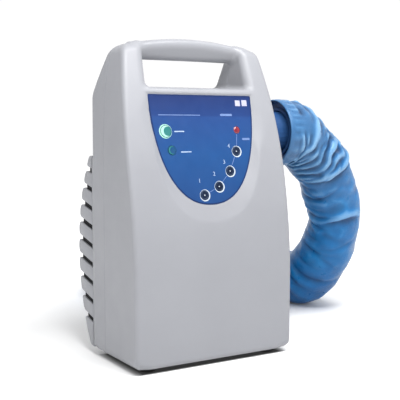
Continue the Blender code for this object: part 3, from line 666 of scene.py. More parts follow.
def arc(cx, cz, r, a0, a1, n=5):
    out = []
    for i in range(n + 1):
        a = math.radians(a0 + (a1 - a0) * i / n)
        out.append((cx + r * math.cos(a), cz + r * math.sin(a)))
    return out


for name, (x, y) in {
    "foot_front_left": (-0.094, -0.040), "foot_front_right": (0.094, -0.040),
    "foot_rear_left": (-0.094, 0.045), "foot_rear_right": (0.094, 0.045),
}.items():
    profile = (
        [(0.0, 0.0012), (0.006, 0.0010), (0.0072, 0.0)]
        + arc(0.0102, 0.0012, 0.0012, -90, 0, 4)
        + [(0.0110, 0.0040), (0.0106, 0.0062), (0.0042, 0.0062), (0.0040, 0.0118), (0.0, 0.0124)]
    )
    foot = lathe(name + "_pad", profile, RUBBER, 40, False, Matrix.Translation((x, y, 0.0)))
    piece(foot, "cabinet", "foot_rubber", name)

# ----------------------------------------------------------------------- panel
PANEL = Matrix.Translation((OX + PANEL_TOP[0], OY + PANEL_TOP[1], PANEL_TOP[2])) @ Matrix.Rotation(math.pi / 2 - LEAN, 4, "X")
KEYS = {
    "on_key": (-0.0587, 0.0501, 0.0078), "standby_key": (-0.0523, 0.0754, 0.0056),
    "temp_key_1": (-0.0102, 0.1361, 0.0062), "temp_key_2": (0.0138, 0.1254, 0.0062),
    "temp_key_3": (0.0337, 0.1051, 0.0062), "temp_key_4": (0.0474, 0.0781, 0.0062),
}
LENS = (0.0520, 0.0485, 0.0048)


def film(name, low, high, grain=1600.0, rough=0.34):
    """A printed plastic film: an even ink under a fine matt texture."""
    mat, tree, shader = new_material(name)
    vector = coords(tree)
    tree.links.new(ramp(tree, noise(tree, vector, 30.0, 3.0), ((0.3, low), (0.7, high))), shader.inputs["Base Color"])
    tree.links.new(spread(tree, noise(tree, vector, 90.0), rough - 0.05, rough + 0.07), shader.inputs["Roughness"])
    bump(tree, shader, noise(tree, vector, grain, 2.0), 0.3, 0.00006)
    shader.inputs["Specular IOR Level"].default_value = 0.22
    return mat


panel_mat, tree, shader = new_material("panel_film")
vector = coords(tree)
split = tree.nodes.new("ShaderNodeSeparateXYZ")
tree.links.new(vector, split.inputs["Vector"])
along = spread(tree, split.outputs["Y"], 0.0, 1.0, (-0.15, 0.0))
inks = ramp(
    tree, along,
    (
        (0.0, (0.013, 0.052, 0.170)), (0.45, (0.013, 0.062, 0.195)), (0.790, (0.016, 0.052, 0.180)),
        (0.812, (0.014, 0.040, 0.150)), (1.0, (0.012, 0.026, 0.105)),
    ),
)
cloud = ramp(tree, noise(tree, vector, 45.0, 4.0), ((0.25, (0.86, 0.87, 0.9)), (0.75, (1.0, 1.0, 1.0))))
mixed = tree.nodes.new("ShaderNodeMix")
mixed.data_type = "RGBA"
mixed.blend_type = "MULTIPLY"
mixed.inputs["Factor"].default_value = 1.0
tree.links.new(inks, mixed.inputs["A"])
tree.links.new(cloud, mixed.inputs["B"])
tree.links.new(mixed.outputs["Result"], shader.inputs["Base Color"])
tree.links.new(spread(tree, noise(tree, vector, 80.0), 0.30, 0.42), shader.inputs["Roughness"])
bump(tree, shader, noise(tree, vector, 1500.0, 2.0), 0.3, 0.00007)
shader.inputs["Specular IOR Level"].default_value = 0.22


def superellipse(half, length, steps=64):
    out = []
    for i in range(steps + 1):
        a = math.pi * i / steps
        c, s = math.cos(a), math.sin(a)
        out.append((math.copysign(half * abs(c) ** (2 / PANEL_POWER), c), -length * max(s, 0.0) ** (2 / PANEL_POWER)))
    return out


def plate(name, outline, holes, low, high, mat, edge=0.0):
    """A flat sheet with round holes, walled straight down at its rim."""
    from mathutils.geometry import delaunay_2d_cdt

    flat = [Vector(p) for p in outline]
    loops = [list(range(len(flat)))]
    for x, y, r in holes:
        start = len(flat)
        flat += [Vector((x + r * math.cos(math.tau * i / 36), y + r * math.sin(math.tau * i / 36))) for i in range(36)]
        loops.append(list(range(start, start + 36)))
    edges = [(loop[i], loop[(i + 1) % len(loop)]) for loop in loops for i in range(len(loop))]
    out, _, tris, _, _, _ = delaunay_2d_cdt(flat, edges, [loops[0]], 1, 1e-7)
    bm = bmesh.new()
    top = [bm.verts.new((p.x, p.y, high)) for p in out]
    for t in tris:
        c = sum((out[i] for i in t), Vector((0, 0))) / len(t)
        if all((c - Vector((x, y))).length > r * 0.985 for x, y, r in holes):
            bm.faces.new([top[i] for i in t])
    bmesh.ops.delete(bm, geom=[v for v in bm.verts if not v.link_faces], context="VERTS")
    bmesh.ops.recalc_face_normals(bm, faces=bm.faces)
    if sum(f.normal.z for f in bm.faces) < 0:
        bmesh.ops.reverse_faces(bm, faces=bm.faces)
    if edge:
        rim = [e for e in bm.edges if e.is_boundary]
        skirt = bmesh.ops.extrude_edge_only(bm, edges=rim)["geom"]
        for v in [g for g in skirt if isinstance(g, bmesh.types.BMVert)]:
            v.co.z = high - edge
        rim = [e for e in bm.edges if e.is_boundary]
    else:
        rim = [e for e in bm.edges if e.is_boundary]
    skirt = bmesh.ops.extrude_edge_only(bm, edges=rim)["geom"]
    for v in [g for g in skirt if isinstance(g, bmesh.types.BMVert)]:
        v.co.z = low
    bmesh.ops.holes_fill(bm, edges=[e for e in bm.edges if e.is_boundary], sides=0)
    obj = from_bmesh(name, bm, mat, smooth=False, shift=False)
    obj.matrix_world = PANEL
    return obj


sheet_outline = [(x, min(y, -0.0007)) for x, y in superellipse(PANEL_HALF + 0.0006, PANEL_LEN + 0.0004)]
holes = [(x, -s, r + 0.0004) for x, s, r in [*KEYS.values(), LENS]]
overlay = plate("panel_film_sheet", sheet_outline, holes, -0.0011, 0.0003, panel_mat)
piece(overlay, "cabinet", "panel_blue", "panel_overlay")

INK_WHITE = film("ink_white", (0.26, 0.34, 0.48), (0.33, 0.41, 0.55))
INK_PALE = film("ink_pale_blue", (0.10, 0.16, 0.34), (0.14, 0.21, 0.40))
INK_TILE = film("ink_tile", (0.34, 0.34, 0.44), (0.40, 0.40, 0.50))
KEY_GREEN = film("key_green_cap", (0.020, 0.135, 0.135), (0.034, 0.175, 0.165), 900.0, 0.36)
KEY_MINT = film("key_mint_crescent", (0.26, 0.50, 0.42), (0.34, 0.58, 0.50), 900.0, 0.36)
KEY_TEAL = film("key_teal_cap", (0.008, 0.052, 0.135), (0.014, 0.072, 0.165), 900.0, 0.36)
KEY_RING = film("key_ring_white", (0.38, 0.43, 0.48), (0.46, 0.51, 0.56), 900.0, 0.36)
KEY_SLATE = film("key_slate_rim", (0.012, 0.024, 0.055), (0.018, 0.034, 0.070), 900.0, 0.36)
KEY_DARK = film("key_dark_centre", (0.005, 0.011, 0.030), (0.009, 0.018, 0.042), 900.0, 0.30)

red_mat, tree, shader = new_material("lens_red_clear")
vector = coords(tree)
tree.links.new(ramp(tree, noise(tree, vector, 260.0, 2.0), ((0.3, (0.15, 0.010, 0.022)), (0.7, (0.24, 0.016, 0.030)))), shader.inputs["Base Color"])
tree.links.new(spread(tree, noise(tree, vector, 90.0), 0.10, 0.2), shader.inputs["Roughness"])
shader.inputs["Coat Weight"].default_value = 0.6
facets = node(tree, "ShaderNodeTexVoronoi", Scale=900.0)
tree.links.new(vector, facets.inputs["Vector"])
bump(tree, shader, facets.outputs["Distance"], 0.25, 0.0002)


def printed(name, outline, mat, high=0.00042):
    obj = plate(name, outline, [], 0.00022, high, mat)
    piece(obj, "cabinet", "panel_blue")
    return obj


def round_bar(x0, x1, s, thick):
    r = thick / 2
    left = [(x0 + r - r * math.sin(math.radians(a)), -s + r * math.cos(math.radians(a))) for a in range(0, 181, 30)]
    right = [(x1 - r + r * math.sin(math.radians(a)), -s - r * math.cos(math.radians(a))) for a in range(0, 181, 30)]
    return left + right


def tile(x, s, half, r):
    out = []
    for cx, cy, a0 in ((1, 1, 0), (-1, 1, 90), (-1, -1, 180), (1, -1, 270)):
        for a in range(0, 91, 30):
            t = math.radians(a0 + a)
            out.append((x + cx * (half - r) + r * math.cos(t), -s + cy * (half - r) + r * math.sin(t)))
    return out


def band(name, outer, inner, mat, high=0.00042):
    """A printed strip between two outlines with as many points each."""
    bm = bmesh.new()
    levels = [[bm.verts.new((px, py, h)) for px, py in line] for line, h in ((outer, 0.00022), (outer, high), (inner, high), (inner, 0.00022))]
    count = len(outer)
    for a, b in zip(levels, levels[1:] + levels[:1]):
        for i in range(count):
            j = (i + 1) % count
            bm.faces.new((a[i], a[j], b[j], b[i]))
    bmesh.ops.recalc_face_normals(bm, faces=bm.faces)
    obj = from_bmesh(name, bm, mat, smooth=False, shift=False)
    obj.matrix_world = PANEL
    piece(obj, "cabinet", "panel_blue")
    return obj


def circle(x, s, r, squash=0.0, n=40):
    return [(x + squash + r * math.cos(math.tau * i / n), -s + r * math.sin(math.tau * i / n)) for i in range(n)]


INK_NAVY = film("ink_navy", (0.006, 0.018, 0.075), (0.010, 0.026, 0.095))
band(
    "mark_border",
    [(x, min(y, -0.0010)) for x, y in superellipse(PANEL_HALF + 0.0002, PANEL_LEN)],
    [(x, min(y, -0.0024)) for x, y in superellipse(PANEL_HALF - 0.0012, PANEL_LEN - 0.0013)],
    INK_NAVY,
)
for name, (x, s, r) in KEYS.items():
    if name.startswith("temp"):
        # fuller on the right, as an open crescent
        band("mark_ring_" + name, circle(x + 0.0005, s + 0.0003, r + 0.0017), circle(x - 0.0001, s - 0.0001, r + 0.0006), KEY_RING)
x, s, r = KEYS["on_key"]
band("mark_ring_on", circle(x - 0.0005, s, r + 0.0017), circle(x + 0.0002, s, r + 0.0006), KEY_MINT)
x, s, r = KEYS["standby_key"]
band("mark_ring_standby", circle(x - 0.0003, s, r + 0.0015), circle(x + 0.0001, s, r + 0.0006), KEY_TEAL)
printed("mark_rule", round_bar(-0.0675, -0.0040, 0.0283, 0.0011), INK_PALE)
printed("mark_dash_right", round_bar(0.0275, 0.0470, 0.0277, 0.0030), INK_PALE)
printed("mark_dash_on", round_bar(-0.0462, -0.0310, 0.0503, 0.0015), INK_WHITE)
printed("mark_dash_standby", round_bar(-0.0392, -0.0232, 0.0777, 0.0015), INK_WHITE)
printed("mark_dash_lamp", round_bar(0.0590, 0.0715, 0.0612, 0.0030), INK_PALE)
printed("mark_tile_1", tile(0.0580, 0.0112, 0.0040, 0.0009), INK_TILE)
printed("mark_tile_2", tile(0.0690, 0.0108, 0.0042, 0.0009), INK_TILE)
# a thin track that joins the curve of keys
chain = [(x, s) for x, s, r in list(KEYS.values())[2:]] + [(LENS[0], LENS[1])]
for k, ((xa, sa), (xb, sb)) in enumerate(zip(chain, chain[1:])):
    d = Vector((xb - xa, sb - sa))
    d.normalize()
    a = Vector((xa, sa)) + d * 0.0090
    b = Vector((xb, sb)) - d * (0.0090 if k < 3 else 0.0062)
    w = Vector((-d.y, d.x)) * 0.00035
    printed(
        "mark_track_%d" % (k + 1),
        [(p.x, -p.y) for p in (a - w, b - w, b + w, a + w)],
        INK_PALE,
    )
for k, (x, s) in enumerate(((-0.0158, 0.1168), (0.0079, 0.1082), (0.0258, 0.0924), (0.0359, 0.0706))):
    text = bpy.data.curves.new("mark_number_%d" % (k + 1), "FONT")
    text.body = str(k + 1)
    text.size = 0.0078
    text.align_x, text.align_y = "CENTER", "CENTER"
    text.extrude = 0.00012
    text.resolution_u = 3
    shape = bpy.data.objects.new("mark_number_%d" % (k + 1), text)
    scene.collection.objects.link(shape)
    shape.matrix_world = PANEL @ Matrix.Translation((x, -s, 0.00034))
    bpy.context.view_layer.update()
    mesh = bpy.data.meshes.new_from_object(shape.evaluated_get(bpy.context.evaluated_depsgraph_get()))
    solid = bpy.data.objects.new("mark_number_%d_print" % (k + 1), mesh)
    scene.collection.objects.link(solid)
    solid.matrix_world = shape.matrix_world.copy()
    bpy.data.objects.remove(shape, do_unlink=True)
    mesh.materials.clear()
    mesh.materials.append(INK_WHITE)
    piece(solid, "cabinet", "panel_blue")

LOCAL = Matrix.Translation((-OX, -OY, 0.0)) @ PANEL
SHELF = -0.0044
for name, (x, s, r) in KEYS.items():
    at = LOCAL @ Matrix.Translation((x, -s, 0.0))
    skirt = [(r, SHELF - 0.0003), (r + 0.0015, SHELF - 0.0003), (r + 0.0015, SHELF - 0.0019), (0.0, SHELF - 0.0019)]
    if name.startswith("temp"):
        profile = (
            [(0.0, 0.0005), (r * 0.14, 0.00045), (r * 0.22, 0.0001), (r * 0.66, 0.0001)]
            + arc(r * 0.84, 0.0002, r * 0.14, 170, 10, 7)
            + [(r, 0.0)]
            + skirt
        )
        profile = [(a, min(b, 0.0010)) for a, b in profile]
        which = [2, 1, 1, 1] + [0] * 20
        key = lathe(name + "_cap", profile, [KEY_SLATE, KEY_DARK, KEY_RING], 40, False, at, which[: len(profile) - 1])
        piece(key, name + "_body", "key_ring", name)
    else:
        profile = [(0.0, 0.00055), (r * 0.40, 0.0006), (r * 0.72, 0.00085)] + arc(r - 0.0007, 0.0002, 0.0007, 80, 0, 4) + skirt
        key = lathe(name + "_cap", profile, [KEY_GREEN if name == "on_key" else KEY_TEAL, KEY_DARK], 48, False, at)
        piece(key, name + "_body", "key_green" if name == "on_key" else "key_teal", name)
        # a crescent along the cap's left edge
        outer = r * 0.97
        inner, off = r * (0.80 if name == "on_key" else 0.84), r * (0.34 if name == "on_key" else 0.22)
        cut_x = (outer**2 - inner**2 + off**2) / (2 * off)
        reach = math.degrees(math.acos(max(-1.0, min(1.0, cut_x / outer))))
        inner_reach = math.degrees(math.acos(max(-1.0, min(1.0, (cut_x - off) / inner))))
        ring = [(x + outer * math.cos(math.radians(a)), -s + outer * math.sin(math.radians(a))) for a in np.linspace(reach + 6, 354 - reach, 26)]
        ring += [
            (x + off + inner * math.cos(math.radians(a)), -s + inner * math.sin(math.radians(a)))
            for a in np.linspace(354 - inner_reach, inner_reach + 6, 22)
        ]
        mark = plate(name + "_crescent", ring, [], 0.0002, 0.00105, KEY_MINT if name == "on_key" else KEY_GREEN)
        piece(mark, name + "_body", "key_green")
x, s, r = LENS
profile = [(0.0, 0.0011), (r * 0.35, 0.00105), (r * 0.65, 0.00085), (r * 0.88, 0.0005), (r, 0.0001), (r, SHELF - 0.0003), (r + 0.0015, SHELF - 0.0003), (r + 0.0015, SHELF - 0.0019), (0.0, SHELF - 0.0019)]
lens = lathe("alarm_lens_dome", profile, red_mat, 36, False, LOCAL @ Matrix.Translation((x, -s, 0.0)))
piece(lens, "cabinet", "lens_red", "alarm_lens")

# ---------------------------------------------------------------------- grille
VAULT_CY, VAULT_CZ, VAULT_R = -0.1357, 0.142, 0.25
GRILLE_HALF = HALF_W + 0.0004


def vault_y(z, r=VAULT_R):
    return VAULT_CY + math.sqrt(max(0.0, r * r - (z - VAULT_CZ) ** 2))


def rounded(outline, radii, n=5):
    """Corners of a closed outline turned to arcs."""
    out = []
    count = len(outline)
    for i, r in enumerate(radii):
        a, b, c = (Vector(outline[(i + d) % count]) for d in (-1, 0, 1))
        u, v = a - b, c - b
        r = min(r, 0.49 * u.length, 0.49 * v.length)
        p, q = b + u.normalized() * r, b + v.normalized() * r
        for k in range(n + 1):
            t = k / n
            out.append(p * (1 - t) ** 2 + b * 2 * t * (1 - t) + q * t * t)
    return [(p.x, p.y) for p in out]


def bar_along_x(bm, outline, x0, x1, ease):
    """An outline in Y and Z carried along X, its ends drawn in a little."""
    cy = sum(p[0] for p in outline) / len(outline)
    cz = sum(p[1] for p in outline) / len(outline)
    stations = [(x0, 1), (x0 + ease * 0.3, 0.3), (x0 + ease, 0.0), (x1 - ease, 0.0), (x1 - ease * 0.3, 0.3), (x1, 1)]
    rings = []
    for x, k in stations:
        ring = []
        for y, z in outline:
            d = math.hypot(y - cy, z - cz)
            f = 1 - k * ease * 0.8 / max(d, 1e-6)
            ring.append(bm.verts.new((x, cy + (y - cy) * f, cz + (z - cz) * f)))
        rings.append(ring)
    for a, b in zip(rings, rings[1:]):
        for i in range(len(a)):
            j = (i + 1) % len(a)
            bm.faces.new((a[i], b[i], b[j], a[j]))
    bm.faces.new(rings[0])
    bm.faces.new(rings[-1][::-1])


bm = bmesh.new()
TILT = math.tan(math.radians(12))
edges_z = [0.049 + 0.0259 * k for k in range(9)]
for k in range(10):
    def low_edge(y):
        return 0.0105 if k == 0 else edges_z[k - 1] + 0.0035 + (y - 0.077) * TILT

    def high_edge(y):
        return 0.2755 if k == 9 else edges_z[k] - 0.0035 + (y - 0.077) * TILT

    zm = (low_edge(0.09) + high_edge(0.09)) / 2
    inner = 0.0652 if k in (0, 9) else 0.0660
    # outer corners, found where the slot's edges meet the vault
    yl = yh = vault_y(zm)
    for _ in range(8):
        yl, yh = vault_y(low_edge(yl)), vault_y(high_edge(yh))
    yl, yh = max(yl, inner + 0.004), max(yh, inner + 0.004)
    bow = vault_y(zm) + 0.0016
    outline = [
        (inner, low_edge(inner)), (yl, low_edge(yl)), (bow, (low_edge(yl) + high_edge(yh)) / 2),
        (yh, high_edge(yh)), (inner, high_edge(inner)),
    ]
    outline = rounded(outline, [0.0006, 0.0072, 0.013, 0.0066, 0.0006], 7)
    bar_along_x(bm, outline, -GRILLE_HALF, GRILLE_HALF, 0.0012)
# end walls and two stiffening ribs
for x0, x1, depth in ((-GRILLE_HALF, -0.1150, None), (0.1150, GRILLE_HALF, None), (-0.0415, -0.0385, 0.012), (0.0385, 0.0415, 0.012)):
    zs = np.linspace(0.0130, 0.2730, 25)
    if depth is None:
        outer = [(min(vault_y(z) - 0.004, 0.0672), z) for z in zs]
        inner = [(0.0560, z) for z in zs]
    else:
        outer = [(max(vault_y(z) - 0.008, 0.0665), z) for z in zs]
        inner = [(max(vault_y(z) - 0.008 - depth, 0.0652), z) for z in zs]
    bar_along_x(bm, [*inner[::-1], *outer][::-1], x0, x1, 0.0004)
bmesh.ops.recalc_face_normals(bm, faces=bm.faces)
grille = from_bmesh("louvre_slats", bm, SHELL, sharp=45)
piece(grille, "cabinet", "shell_plastic", "louvre_grille")
# painted shade: a near-black sheet with a fine mesh texture stands in each slot for the shade inside it
slot_shade_mat, tree, shader = new_material("slot_shade_screen_mesh")
vector = coords(tree)
dots = node(tree, "ShaderNodeTexVoronoi", Scale=520.0)
tree.links.new(vector, dots.inputs["Vector"])
tree.links.new(ramp(tree, dots.outputs["Distance"], ((0.2, (0.004, 0.004, 0.005)), (0.6, (0.016, 0.016, 0.018)))), shader.inputs["Base Color"])
tree.links.new(spread(tree, noise(tree, vector, 80.0), 0.7, 0.9), shader.inputs["Roughness"])
bump(tree, shader, dots.outputs["Distance"], 0.8, 0.0008)
shader.inputs["Specular IOR Level"].default_value = 0.15
bm = bmesh.new()
for z in edges_z:
    y = 0.10
    for _ in range(8):
        y = vault_y(z + (y - 0.077) * TILT)
    out = y - 0.0070
    back = 0.0666
    if out < back + 0.002:
        continue
    corners = [
        (back, z - 0.0042 + (back - 0.077) * TILT), (out, z - 0.0042 + (out - 0.077) * TILT),
        (out, z + 0.0042 + (out - 0.077) * TILT), (back, z + 0.0042 + (back - 0.077) * TILT),
    ]
    bar_along_x(bm, rounded(corners, [0.0004] * 4, 2), -0.1192, 0.1192, 0.0003)
bmesh.ops.recalc_face_normals(bm, faces=bm.faces)
screen = from_bmesh("slot_shade_screen", bm, slot_shade_mat, sharp=45)
piece(screen, "cabinet", "dark_plastic")

# ------------------------------------------------------------------------ hose
LOOP_C, LOOP_R, LAY_Z = (0.214, 0.362), 0.15, 0.0438


def loop_point(angle):
    a = math.radians(angle)
    return (LOOP_C[0] + LOOP_R * math.cos(a), LOOP_C[1] + LOOP_R * math.sin(a), LAY_Z)


ROUTE = np.array(
    [
        (0.1585, 0.0155, 0.307), (0.1735, 0.0155, 0.307), (0.193, 0.0166, 0.3008), (0.217, 0.0220, 0.2853),
        (0.2425, 0.0326, 0.2658), (0.2675, 0.0456, 0.2420), (0.291, 0.0596, 0.2132), (0.3097, 0.0740, 0.1770),
        (0.3212, 0.0910, 0.1385), (0.326, 0.1140, 0.1015), (0.327, 0.1440, 0.0705), (0.327, 0.1780, 0.0497),
        (0.329, 0.2150, LAY_Z), (0.340, 0.2640, LAY_Z),
        *[loop_point(a) for a in (-14, 12, 40, 70, 100, 130, 160, 190, 220, 246, 268)],
    ]
)


def spline(route, step):
    out = [route[0] + (route[1] - route[0]) * t for t in np.linspace(0, 1, 5)[:-1]]
    for i in range(1, len(route) - 1):
        a, b, c = route[i - 1], route[i], route[i + 1]
        d = route[i + 2] if i + 2 < len(route) else 2 * c - b
        n = max(2, int(round(np.linalg.norm(c - b) / step)))
        for t in np.arange(n) / n:
            out.append(0.5 * (2 * b + (c - a) * t + (2 * a - 5 * b + 4 * c - d) * t**2 + (3 * b - a - 3 * c + d) * t**3))
    out.append(route[-1])
    return np.array(out)


line = spline(ROUTE, 0.0026)
legs = np.linalg.norm(np.diff(line, axis=0), axis=1)
run = np.concatenate(([0.0], np.cumsum(legs)))
LENGTH = float(run[-1])
tangent = np.gradient(line, run, axis=0)
tangent /= np.linalg.norm(tangent, axis=1, keepdims=True)
first = np.array((0.0, 0.0, -1.0))
normals = []
for t in tangent:
    first = first - t * first.dot(t)
    first /= np.linalg.norm(first)
    normals.append(first)
normals = np.array(normals)
sides = np.cross(tangent, normals)
# the hem reaches forward over the cuff and turns in over its rim
hem = np.array((-0.0142, -0.0152, -0.0152, -0.0142, -0.0106, -0.0054))
hem_r = np.array((0.0452, 0.0458, 0.0468, 0.0475, 0.0478, 0.0479))
stations = np.concatenate((hem, run))
mid = np.concatenate((line[0] + hem[:, None] * tangent[0], line))
normals = np.concatenate((np.repeat(normals[:1], len(hem), 0), normals))
sides = np.concatenate((np.repeat(sides[:1], len(hem), 0), sides))
AROUND = 84
theta = np.arange(AROUND) * math.tau / AROUND
R, T = np.meshgrid(stations, theta, indexing="ij")
radius = np.interp(
    R,
    (0.0, 0.012, 0.05, 0.10, 0.16, 0.26, 0.36, 0.44, 0.52, LENGTH),
    (0.0479, 0.0474, 0.0440, 0.0428, 0.0424, 0.0432, 0.0456, 0.0450, 0.0422, 0.0418),
)
radius[: len(hem)] = hem_r[:, None]
dice = np.random.default_rng(11)


def off(th):
    return (T - th + math.pi) % math.tau - math.pi


def fold(c, w, a, th, tw, skew=0.0):
    """A soft ridge (a > 0) or hollow part of the way round the hose."""
    d = off(th)
    return a * np.exp(-(((R - c - skew * d) / w) ** 2)) * np.exp(-((d / tw) ** 2))


def crease(c, w, a, th, tw, skew=0.0):
    """A sharper valley with a raised lip on each side."""
    d = off(th)
    q = (R - c - skew * d) / w
    return a * (1.35 * np.exp(-np.abs(q) ** 1.3) - 0.55 * np.exp(-((q / 2.2) ** 2))) * np.exp(-((d / tw) ** 2))


def tuck(c, w, a, th, tw, skew=0.0, bend=0.0):
    """Cloth that swells, then drops sharply under an overlapping lip."""
    d = off(th)
    q = (R - c - skew * d - bend * d * d) / w
    swell = np.exp(-((q + 1.0) ** 2) / 1.1)
    drop = np.where(q > 0, np.exp(-q / 1.1), np.exp(q / 0.22))
    return a * (0.75 * swell - 1.0 * drop) * np.exp(-np.abs(d / tw) ** 3)


def crumple(along, across, seed):
    """Smooth noise over the cloth that closes up round the tube."""
    spots = zip((np.cos(T) * across).ravel(), (np.sin(T) * across + seed).ravel(), (R * along).ravel())
    return np.array([perlin.noise(Vector(p)) for p in spots]).reshape(T.shape)


relief = np.zeros_like(R)
# cloth bunched up behind the cuff: rings that wander, stop and start
strength = np.clip((R + 0.004) / 0.012, 0, 1) * np.clip((0.116 - R) / 0.03, 0, 1)
for pitch, seed, size in ((0.0205, 3.1, 0.0034), (0.0132, 9.4, 0.0020)):
    wander = 0.016 * crumple(11.0, 1.15, seed) + 0.006 * crumple(30.0, 2.4, seed + 20.0)
    swing = np.sin(math.tau * (R + wander) / pitch)
    there = np.clip(0.35 + 1.9 * crumple(22.0, 1.5, seed + 40.0), 0.0, 1.0)
    relief += size * np.sign(swing) * np.abs(swing) ** 0.8 * strength * there
# cloth pressed together on the inside of each bend
at = 0.125
while at < LENGTH - 0.05:
    inner = 0.3 if at < 0.40 else -1.35
    relief += crease(at, dice.uniform(0.0045, 0.0075), -dice.uniform(0.0018, 0.0036), inner + dice.normal(0, 0.22), dice.uniform(0.55, 0.95), dice.normal(0, 0.005))
    relief += fold(at + 0.012, dice.uniform(0.006, 0.009), dice.uniform(0.0006, 0.0016), inner + dice.normal(0, 0.25), dice.uniform(0.5, 0.9))
    at += dice.uniform(0.020, 0.034)
# long slack folds elsewhere
for _ in range(150):
    relief += fold(dice.uniform(0.12, LENGTH), dice.uniform(0.0045, 0.012), dice.choice((-1, 1)) * dice.uniform(0.0008, 0.0022), dice.uniform(0, math.tau), dice.uniform(0.35, 1.0), dice.normal(0, 0.016))
# rumpled cloth, with sharp little valleys
rumple = 1.0 - 2.6 * np.abs(crumple(30.0, 1.7, 12.3))
relief += 0.00085 * rumple * np.clip((R - 0.03) / 0.08, 0, 1)
relief += 0.00045 * crumple(75.0, 4.2, 5.5) * np.clip(R / 0.03, 0, 1)
# the folds that show most on the near side
relief += tuck(0.114, 0.0125, 0.0074, 4.85, 1.45, -0.009, 0.003)
relief += tuck(0.210, 0.0085, 0.0050, 5.25, 0.80, -0.004, 0.014)
relief += fold(0.072, 0.0080, 0.0034, 4.85, 0.60, 0.010)
relief += fold(0.031, 0.0050, 0.0028, 4.75, 1.00, 0.004)
relief += crease(0.150, 0.0050, -0.0020, 5.9, 0.6, 0.016)
relief += crease(0.262, 0.0050, -0.0018, 5.3, 0.8, 0.014)
relief += crease(0.292, 0.0045, -0.0018, 5.8, 0.6, -0.016)
relief += crease(0.330, 0.0055, -0.0020, 5.4, 0.9, 0.010)
# where the hose is slacker or fuller than a round tube
relief += fold(0.058, 0.040, -0.0078, 3.55, 0.80)
relief += fold(0.070, 0.045, 0.0030, 0.55, 0.80)
relief += fold(0.136, 0.016, -0.0030, 0.80, 0.60)
relief += fold(0.173, 0.012, 0.0036, 0.80, 0.60)
relief += fold(0.232, 0.036, -0.0045, 0.95, 0.80)
relief += fold(0.205, 0.050, 0.0016, 4.20, 0.60)
relief += fold(0.385, 0.050, 0.0036, 4.80, 0.80)
# pleats where the hem is drawn over the cuff
pleats = 0.0007 * np.sin(23 * T + 3 * np.sin(3 * T)) * np.exp(-(((R + 0.002) / 0.012) ** 2))
relief = relief * np.clip((LENGTH - R) / 0.03, 0.0, 1.0) * np.clip((R + 0.006) / 0.012, 0.0, 1.0) + pleats * (R > -0.010)
radius = np.clip(radius + relief, 0.0325, 0.0525)
# how deep each spot lies against the cloth round it, used to paint shade into the hollows and highlight onto the
# ridges; past 0.225 m along, the painted contrast is weaker and a little darker
even = relief.copy()
for _ in range(14):
    even = (even + np.roll(even, 1, 1) + np.roll(even, -1, 1)) / 3
    even = (even + np.concatenate((even[:1], even[:-1])) + np.concatenate((even[1:], even[-1:]))) / 3
depth = np.clip(0.5 + (relief - even) / 0.0042 * (1.0 - 0.45 * np.clip((R - 0.225) / 0.03, 0, 1)), 0.0, 1.0)
depth = depth - 0.10 * np.clip((R - 0.225) / 0.12, 0, 1)
tube = mid[:, None, :] + radius[..., None] * (np.cos(T)[..., None] * normals[:, None, :] + np.sin(T)[..., None] * sides[:, None, :])
# the weight of the hose flattens it where it lies
low = tube[..., 2] < 0.0035
tube[..., 2] = np.where(low, 0.0012 + 0.0023 * np.exp((tube[..., 2] - 0.0035) / 0.0023), tube[..., 2])

hose_mat, tree, shader = new_material("hose_woven_fabric")
uv = tree.nodes.new("ShaderNodeUVMap")
uv.uv_map = "weave"
warp = node(tree, "ShaderNodeTexWave", Scale=1.0, Distortion=0.6, Detail=1.0)
warp.inputs["Detail Scale"].default_value = 2.0
warp.bands_direction = "X"
weft = node(tree, "ShaderNodeTexWave", Scale=1.0, Distortion=0.6, Detail=1.0)
weft.inputs["Detail Scale"].default_value = 2.0
weft.bands_direction = "Y"
tree.links.new(uv.outputs["UV"], warp.inputs["Vector"])
tree.links.new(uv.outputs["UV"], weft.inputs["Vector"])
cross = tree.nodes.new("ShaderNodeMath")
cross.operation = "MULTIPLY"
tree.links.new(warp.outputs["Fac"], cross.inputs[0])
tree.links.new(weft.outputs["Fac"], cross.inputs[1])
vector = coords(tree)
cloudy = noise(tree, vector, 14.0, 4.0, 0.6)
base = ramp(tree, cloudy, ((0.28, (0.002, 0.172, 0.460)), (0.5, (0.004, 0.230, 0.580)), (0.72, (0.012, 0.306, 0.690))))
# painted sheen: beside the cuff the blue is mixed towards a greyer, paler blue, standing in for the lamp's gloss on
# the upper hose
cuff_sheen = tree.nodes.new("ShaderNodeAttribute")
cuff_sheen.attribute_name = "near_cuff"
greyed = tree.nodes.new("ShaderNodeMix")
greyed.data_type = "RGBA"
tree.links.new(spread(tree, cuff_sheen.outputs["Fac"], 0.0, 0.62, (0.0, 1.0)), greyed.inputs["Factor"])
tree.links.new(base, greyed.inputs["A"])
tree.links.new(ramp(tree, cloudy, ((0.3, (0.10, 0.205, 0.340)), (0.7, (0.16, 0.270, 0.410)))), greyed.inputs["B"])
base = greyed.outputs["Result"]
# painted shade: the base colour is darkened in the cloth's hollows, less towards the ridges
fold_shade = tree.nodes.new("ShaderNodeAttribute")
fold_shade.attribute_name = "fold_depth"
fold_shade_tone = ramp(tree, fold_shade.outputs["Fac"], ((0.0, (0.14, 0.18, 0.24)), (0.5, (0.50, 0.54, 0.60)), (1.0, (1.0, 1.0, 1.0))))
shade = tree.nodes.new("ShaderNodeMix")
shade.data_type = "RGBA"
shade.blend_type = "MULTIPLY"
shade.inputs["Factor"].default_value = 1.0
tree.links.new(base, shade.inputs["A"])
tree.links.new(fold_shade_tone, shade.inputs["B"])
